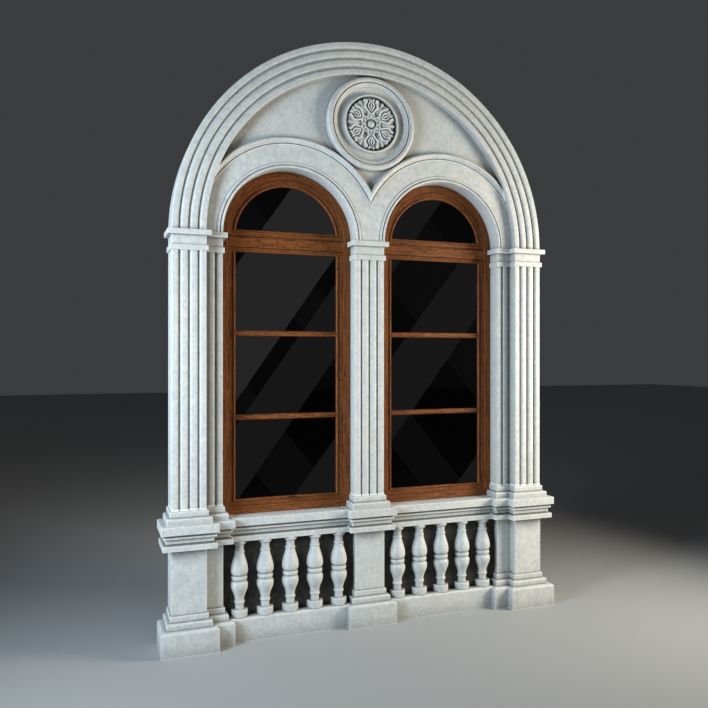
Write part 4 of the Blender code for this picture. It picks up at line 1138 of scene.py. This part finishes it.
def timber_bar(name, x0, x1, section, node):
    """A closed (y, z) section carried along X."""
    x = np.linspace(x0, x1, SIDE_STEPS + 1)
    points = np.empty((len(x), len(section), 3))
    points[..., 0] = x[:, None]
    points[..., 1:] = section
    loop_piece(name, points, "stained_timber", [node], angle=TIMBER_ANGLE,
               lengths=grain_lengths(points, False))


def arched_path(centre, radii, floors):
    """Up one side, over the half circle, down the other side and back along the bottom, for each radius and
    floor."""
    turn = np.linspace(0.0, math.pi, ROUND_STEPS + 1)[:, None]
    over_x, over_z = centre + radii * np.cos(turn), ARCH_BASE + radii * np.sin(turn)
    rise = np.linspace(0.0, 1.0, SIDE_STEPS + 1)[:-1, None]
    up_z = floors + (ARCH_BASE - floors) * rise
    up_x = np.broadcast_to(centre + radii, up_z.shape)
    down_x = np.broadcast_to(centre - radii, up_z.shape)
    along = np.linspace(0.0, 1.0, SIDE_STEPS - 1)[1:-1, None]
    low_x = centre - radii + 2 * radii * along
    low_z = np.broadcast_to(floors, low_x.shape)
    x = np.concatenate([up_x, over_x, down_x[::-1], low_x])
    return x, np.concatenate([up_z, over_z, up_z[::-1], low_z])


def fan_path(centre, radii, floors):
    """The half circle and the chord below it."""
    low = np.arcsin((floors - ARCH_BASE) / radii)
    turn = low + (math.pi - 2 * low) * np.linspace(0.0, 1.0, ROUND_STEPS + 1)[:, None]
    x, z = centre + radii * np.cos(turn), ARCH_BASE + radii * np.sin(turn)
    along = np.linspace(0.0, 1.0, SIDE_STEPS + 1)[1:-1, None]
    chord_x, chord_z = x[-1] + (x[0] - x[-1]) * along, z[-1] + (z[0] - z[-1]) * along
    return np.concatenate([x, chord_x]), np.concatenate([z, chord_z])


def upright_path(centre, halves, floors, tops):
    """Round a rectangle from its lower left corner, for each half width, floor and top."""
    x = centre + np.stack([-halves, halves, halves, -halves])
    z = np.stack([floors, floors, tops, tops])
    run = np.linspace(0.0, 1.0, SIDE_STEPS + 1)[:-1, None]
    sides = [a[:, None] + (np.roll(a, -1, axis=0) - a)[:, None] * run for a in (x, z)]
    return tuple(side.reshape(-1, len(halves)) for side in sides)


def sash_section():
    """Share of the sash edge and depth: rebate edge, flat, quirk, bead and slope to the glass."""
    sizes = bpy.context.scene.timber_sizes
    flat, edge = CASING_FACE + sizes.sash_depth, sizes.sash_edge
    section = soft_line([
        (0.0, BACK, 0.0), (0.0, flat, 0.002), (edge - 0.0215, flat, 0.001),
        (edge - 0.0205, flat + 0.002, 0.001), (edge - 0.0195, flat - 0.006, 0.003),
        (edge - 0.008, flat - 0.009, 0.005), (edge, flat + 0.004, 0.003), (edge, BACK, 0.0)], steps=3)
    return section[:, 0] / edge, section[:, 1]


def transom_section(low, high):
    """Bead below, broad flat and a rebate under the upper light, as (y, z)."""
    face = CASING_FACE + 0.004
    return soft_line([
        (BACK, low, 0.0), (face + 0.010, low, 0.001), (face + 0.002, low + 0.002, 0.004),
        (face + 0.002, low + 0.014, 0.004), (face + 0.009, low + 0.0165, 0.001),
        (face + 0.009, low + 0.0185, 0.001), (face, low + 0.020, 0.002), (face, high - 0.024, 0.002),
        (face + 0.003, high - 0.022, 0.001), (face + 0.003, high - 0.015, 0.002),
        (face + 0.022, high - 0.013, 0.001), (face + 0.022, high, 0.0), (BACK, high, 0.0)], steps=3)


def bar_section(low, high):
    """A glazing bar with a rounded front, as (y, z)."""
    face = CASING_FACE + 0.006
    return soft_line([
        (BACK, low, 0.0), (face + 0.016, low, 0.001), (face + 0.002, low + 0.005, 0.005),
        (face, (low + high) / 2, 0.006), (face + 0.002, high - 0.005, 0.005), (face + 0.016, high, 0.001),
        (BACK, high, 0.0)], steps=3)


class SURROUND_OT_casings(bpy.types.Operator):
    """Fixed frames in the two openings"""

    bl_idname = "surround.casings"
    bl_label = "Window frames"

    def execute(self, context):
        width = context.scene.timber_sizes.casing
        section = soft_line([(0.0, BACK, 0.0), (0.0, CASING_FACE, 0.003), (width, CASING_FACE, 0.006),
                             (width, BACK, 0.0)])
        inset, depths = section[:, 0], section[:, 1]
        for name, sign in SIDES:
            path = arched_path(sign * BAY_CENTRE, OPENING - SEAM - inset, CAP_TOP + SEAM + inset)
            timber_ring("casing_" + name, path, depths, "frame_" + name)
        return {"FINISHED"}


class SURROUND_OT_sashes(bpy.types.Operator):
    """Half round lights, lower lights, transoms and glazing bars"""

    bl_idname = "surround.sashes"
    bl_label = "Sashes"

    def execute(self, context):
        """The sash section's shares run from the outside of a light to its glass."""
        sizes = context.scene.timber_sizes
        share, depths = sash_section()
        for name, sign in SIDES:
            centre = sign * BAY_CENTRE
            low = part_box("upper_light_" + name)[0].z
            path = fan_path(centre, SASH_HALF - share * sizes.sash_edge, low + share * sizes.fan_rail)
            timber_ring("fan_light_" + name, path, depths, "upper_light_" + name)

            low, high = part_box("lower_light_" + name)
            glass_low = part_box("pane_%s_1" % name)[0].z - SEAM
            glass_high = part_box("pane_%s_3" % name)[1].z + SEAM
            path = upright_path(centre, SASH_HALF + (GLASS_HALF - SASH_HALF) * share,
                                low.z + (glass_low - low.z) * share, high.z + (glass_high - high.z) * share)
            timber_ring("casement_" + name, path, depths, "lower_light_" + name)

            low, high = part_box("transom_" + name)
            timber_bar("transom_rail_" + name, centre - SASH_HALF, centre + SASH_HALF,
                       transom_section(low.z, high.z), "transom_" + name)
            for place in ("1", "2"):
                node = "muntin_%s_%s" % (name, place)
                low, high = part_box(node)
                timber_bar("glazing_bar_%s_%s" % (name, place), low.x, high.x,
                           bar_section(low.z, high.z), node)
        return {"FINISHED"}


FAN_COLUMNS, FAN_ROWS = 97, 5


class SURROUND_OT_glass(bpy.types.Operator):
    """Panes of both windows"""

    bl_idname = "surround.glass"
    bl_label = "Glass"

    def execute(self, context):
        """The rectangular panes keep their CAD meshes. A fan pane runs from its chord up to the circle."""
        radius = SASH_HALF - context.scene.timber_sizes.sash_edge - SEAM
        for name, sign in SIDES:
            for place in ("1", "2", "3"):
                dress_node("pane_%s_%s" % (name, place), "tinted_glass")
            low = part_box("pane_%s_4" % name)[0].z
            angle = math.asin((low - ARCH_BASE) / radius)
            turn = np.linspace(angle, math.pi - angle, FAN_COLUMNS)
            high = np.maximum(ARCH_BASE + radius * np.sin(turn), low)
            z = low + (high - low) * np.linspace(0.0, 1.0, FAN_ROWS)[:, None]
            x = np.broadcast_to(sign * BAY_CENTRE + radius * np.cos(turn), z.shape)
            front = np.stack([x, np.full(z.shape, GLASS_FACE), z], axis=-1)
            slab_piece("fan_glass_" + name, front, GLASS_BACK, "tinted_glass", ["pane_%s_4" % name],
                       angle=30.0, weighted=False)
        return {"FINISHED"}


# Stage

FLOOR_HALF, FLOOR_DROP = 40.0, 0.0005
FLOOR_GREY = (0.38, 0.38, 0.38)
AIR_COLOUR = (0.80, 0.83, 0.88, 1.0)
SENSOR = 36.0

# The two side lamps are mirrored places with one target, size and spread
SIDE_LAMP = {"target": (0.0, 0.0, 2.1), "size": (1.6, 2.6), "spread": math.radians(125)}
COOL_PLACE, COOL_COLOUR = (-4.8, -2.1, 2.8), (0.72, 0.86, 0.98)
WARM_PLACE, WARM_COLOUR = (4.8, -2.1, 2.8), (1.0, 0.95, 0.83)
TOP_LAMP = {"target": (0.0, 0.0, 2.0), "size": (7.0, 2.5), "spread": math.pi}
TOP_PLACE, TOP_COLOUR = (0.0, -2.2, 8.5), (1.0, 0.98, 0.96)

# Cards behind the camera that give the glass its slanting reflections: name, x of the left corner on the
# floor, width, sideways lean for each metre of height and brightness. Those that lean left stand further back
CARD_DEPTH, CARD_GAP, CARD_HEIGHT = 5.5, 0.1, 6.0
REFLECTED_BANDS = (("card_1", -2.67, 1.54, 0.70, 0.45), ("card_2", -0.87, 0.89, 0.72, 0.21),
                   ("card_3", 0.96, 1.12, 0.77, 0.21), ("card_4", 4.0, 2.0, 0.85, 0.21),
                   ("cross_1", 0.60, 1.05, -0.80, 0.075), ("cross_2", 3.32, 0.83, -0.80, 0.075),
                   ("cross_3", 5.80, 1.9, -0.88, 0.075))


def flat_sheet(name, corners, paint):
    """One flat face through four corners."""
    mesh = bpy.data.meshes.new(name)
    mesh.from_pydata(corners, [], [(0, 1, 2, 3)])
    mesh.materials.append(paint.material)
    return new_object(name, mesh)


class SURROUND_OT_stage(bpy.types.Operator):
    """Floor, camera, lamps and the cards that the glass reflects"""

    bl_idname = "surround.stage"
    bl_label = "Stage"

    def floor(self):
        """A plain square just below the plinths."""
        paint = Finish("floor_paint")
        paint.surface("Base Color", FLOOR_GREY)
        paint.surface("Roughness", 0.9)
        signs = ((-1, -1), (1, -1), (1, 1), (-1, 1))
        floor = flat_sheet("floor", [(a * FLOOR_HALF, b * FLOOR_HALF, -FLOOR_DROP) for a, b in signs], paint)

    def lamp(self, name, place, colour, power, target, size, spread):
        """A rectangle of light turned to its target: a lamp shines down its own Z axis, so it is raised from
        straight down to level, then by the rise to the target, and turned about the upright axis."""
        data = bpy.data.lights.new(name, "AREA")
        data.shape = "RECTANGLE"
        data.size, data.size_y = size
        data.spread = spread
        data.energy = power
        data.color = colour
        lamp = new_object(name, data)
        lamp.location = place
        x, y, z = np.array(target) - np.array(place)
        lamp.rotation_euler = (math.pi / 2 + math.atan2(z, math.hypot(x, y)), 0.0, math.atan2(-x, y))

    def card(self, name, low, width, lean, brightness):
        """A slanted grey card, from x = low on the floor, that only mirror reflections see."""
        y = -CARD_DEPTH if lean > 0 else -CARD_DEPTH - CARD_GAP
        top = low + CARD_HEIGHT * lean
        corners = [(low, y, 0.0), (low + width, y, 0.0), (top + width, y, CARD_HEIGHT), (top, y, CARD_HEIGHT)]
        glow = Finish(name)
        glow.surface("Base Color", (0.0, 0.0, 0.0))
        glow.surface("Roughness", 1.0)
        glow.surface("Emission Color", (1.0, 1.0, 1.0))
        glow.surface("Emission Strength", brightness)
        card = flat_sheet(name, corners, glow)
        card.visible_camera = False
        card.visible_diffuse = False
        card.visible_shadow = False
        card.visible_transmission = False

    def camera(self, settings):
        """The photograph's viewpoint."""
        data = bpy.data.cameras.new("camera")
        data.lens = settings.lens
        data.sensor_width = SENSOR
        camera = new_object("camera", data)
        camera.location = settings.camera_place
        camera.rotation_euler = (math.pi / 2 + settings.camera_pitch, 0.0, -settings.camera_yaw)
        bpy.context.scene.camera = camera

    def air(self, strength):
        """Even light from all round."""
        world = bpy.data.worlds.new("studio")
        world.use_nodes = True
        background = world.node_tree.nodes["Background"]
        background.inputs["Color"].default_value = AIR_COLOUR
        background.inputs["Strength"].default_value = strength
        bpy.context.scene.world = world

    def execute(self, context):
        settings = context.scene.stage_settings
        context.scene.view_settings.view_transform = "Standard"
        self.floor()
        self.air(settings.air)
        self.lamp("cool_lamp", COOL_PLACE, COOL_COLOUR, settings.cool_power, **SIDE_LAMP)
        self.lamp("warm_lamp", WARM_PLACE, WARM_COLOUR, settings.warm_power, **SIDE_LAMP)
        self.lamp("top_lamp", TOP_PLACE, TOP_COLOUR, settings.top_power, **TOP_LAMP)
        for band in REFLECTED_BANDS:
            self.card(*band)
        self.camera(settings)
        return {"FINISHED"}


STEPS = ("pedestals", "caps", "balusters", "pilasters", "great_arch", "small_arches", "tympanum", "roundel",
         "rosette", "casings", "sashes", "glass", "stage")


class SURROUND_PT_sidebar(bpy.types.Panel):
    """Lists the sizes, finishes and pieces of the surround"""

    bl_idname = "SURROUND_PT_sidebar"
    bl_label = "Window surround"
    bl_space_type = "VIEW_3D"
    bl_region_type = "UI"
    bl_category = "Surround"

    def draw(self, context):
        scene = context.scene
        for group in (scene.stone_sizes, scene.timber_sizes, scene.finishes, scene.stage_settings):
            box = self.layout.box()
            for key in group.bl_rna.properties.keys():
                if key not in {"rna_type", "name"}:
                    box.prop(group, key)
        for step in STEPS:
            self.layout.operator("surround." + step)


GROUPS = {"stone_sizes": StoneSizes, "timber_sizes": TimberSizes, "finishes": Finishes,
          "stage_settings": StageSettings}
CLASSES = (*GROUPS.values(), SURROUND_OT_pedestals, SURROUND_OT_caps, SURROUND_OT_balusters,
           SURROUND_OT_pilasters, SURROUND_OT_great_arch, SURROUND_OT_small_arches, SURROUND_OT_tympanum,
           SURROUND_OT_roundel, SURROUND_OT_rosette, SURROUND_OT_casings, SURROUND_OT_sashes,
           SURROUND_OT_glass, SURROUND_OT_stage, SURROUND_PT_sidebar)


def register():
    for cls in CLASSES:
        bpy.utils.register_class(cls)
    for name, group in GROUPS.items():
        setattr(bpy.types.Scene, name, PointerProperty(type=group))


def unregister():
    for name in GROUPS:
        delattr(bpy.types.Scene, name)
    for cls in reversed(CLASSES):
        bpy.utils.unregister_class(cls)


def main():
    register()
    for step in STEPS:
        getattr(bpy.ops.surround, step)()


if __name__ == "__main__":
    main()
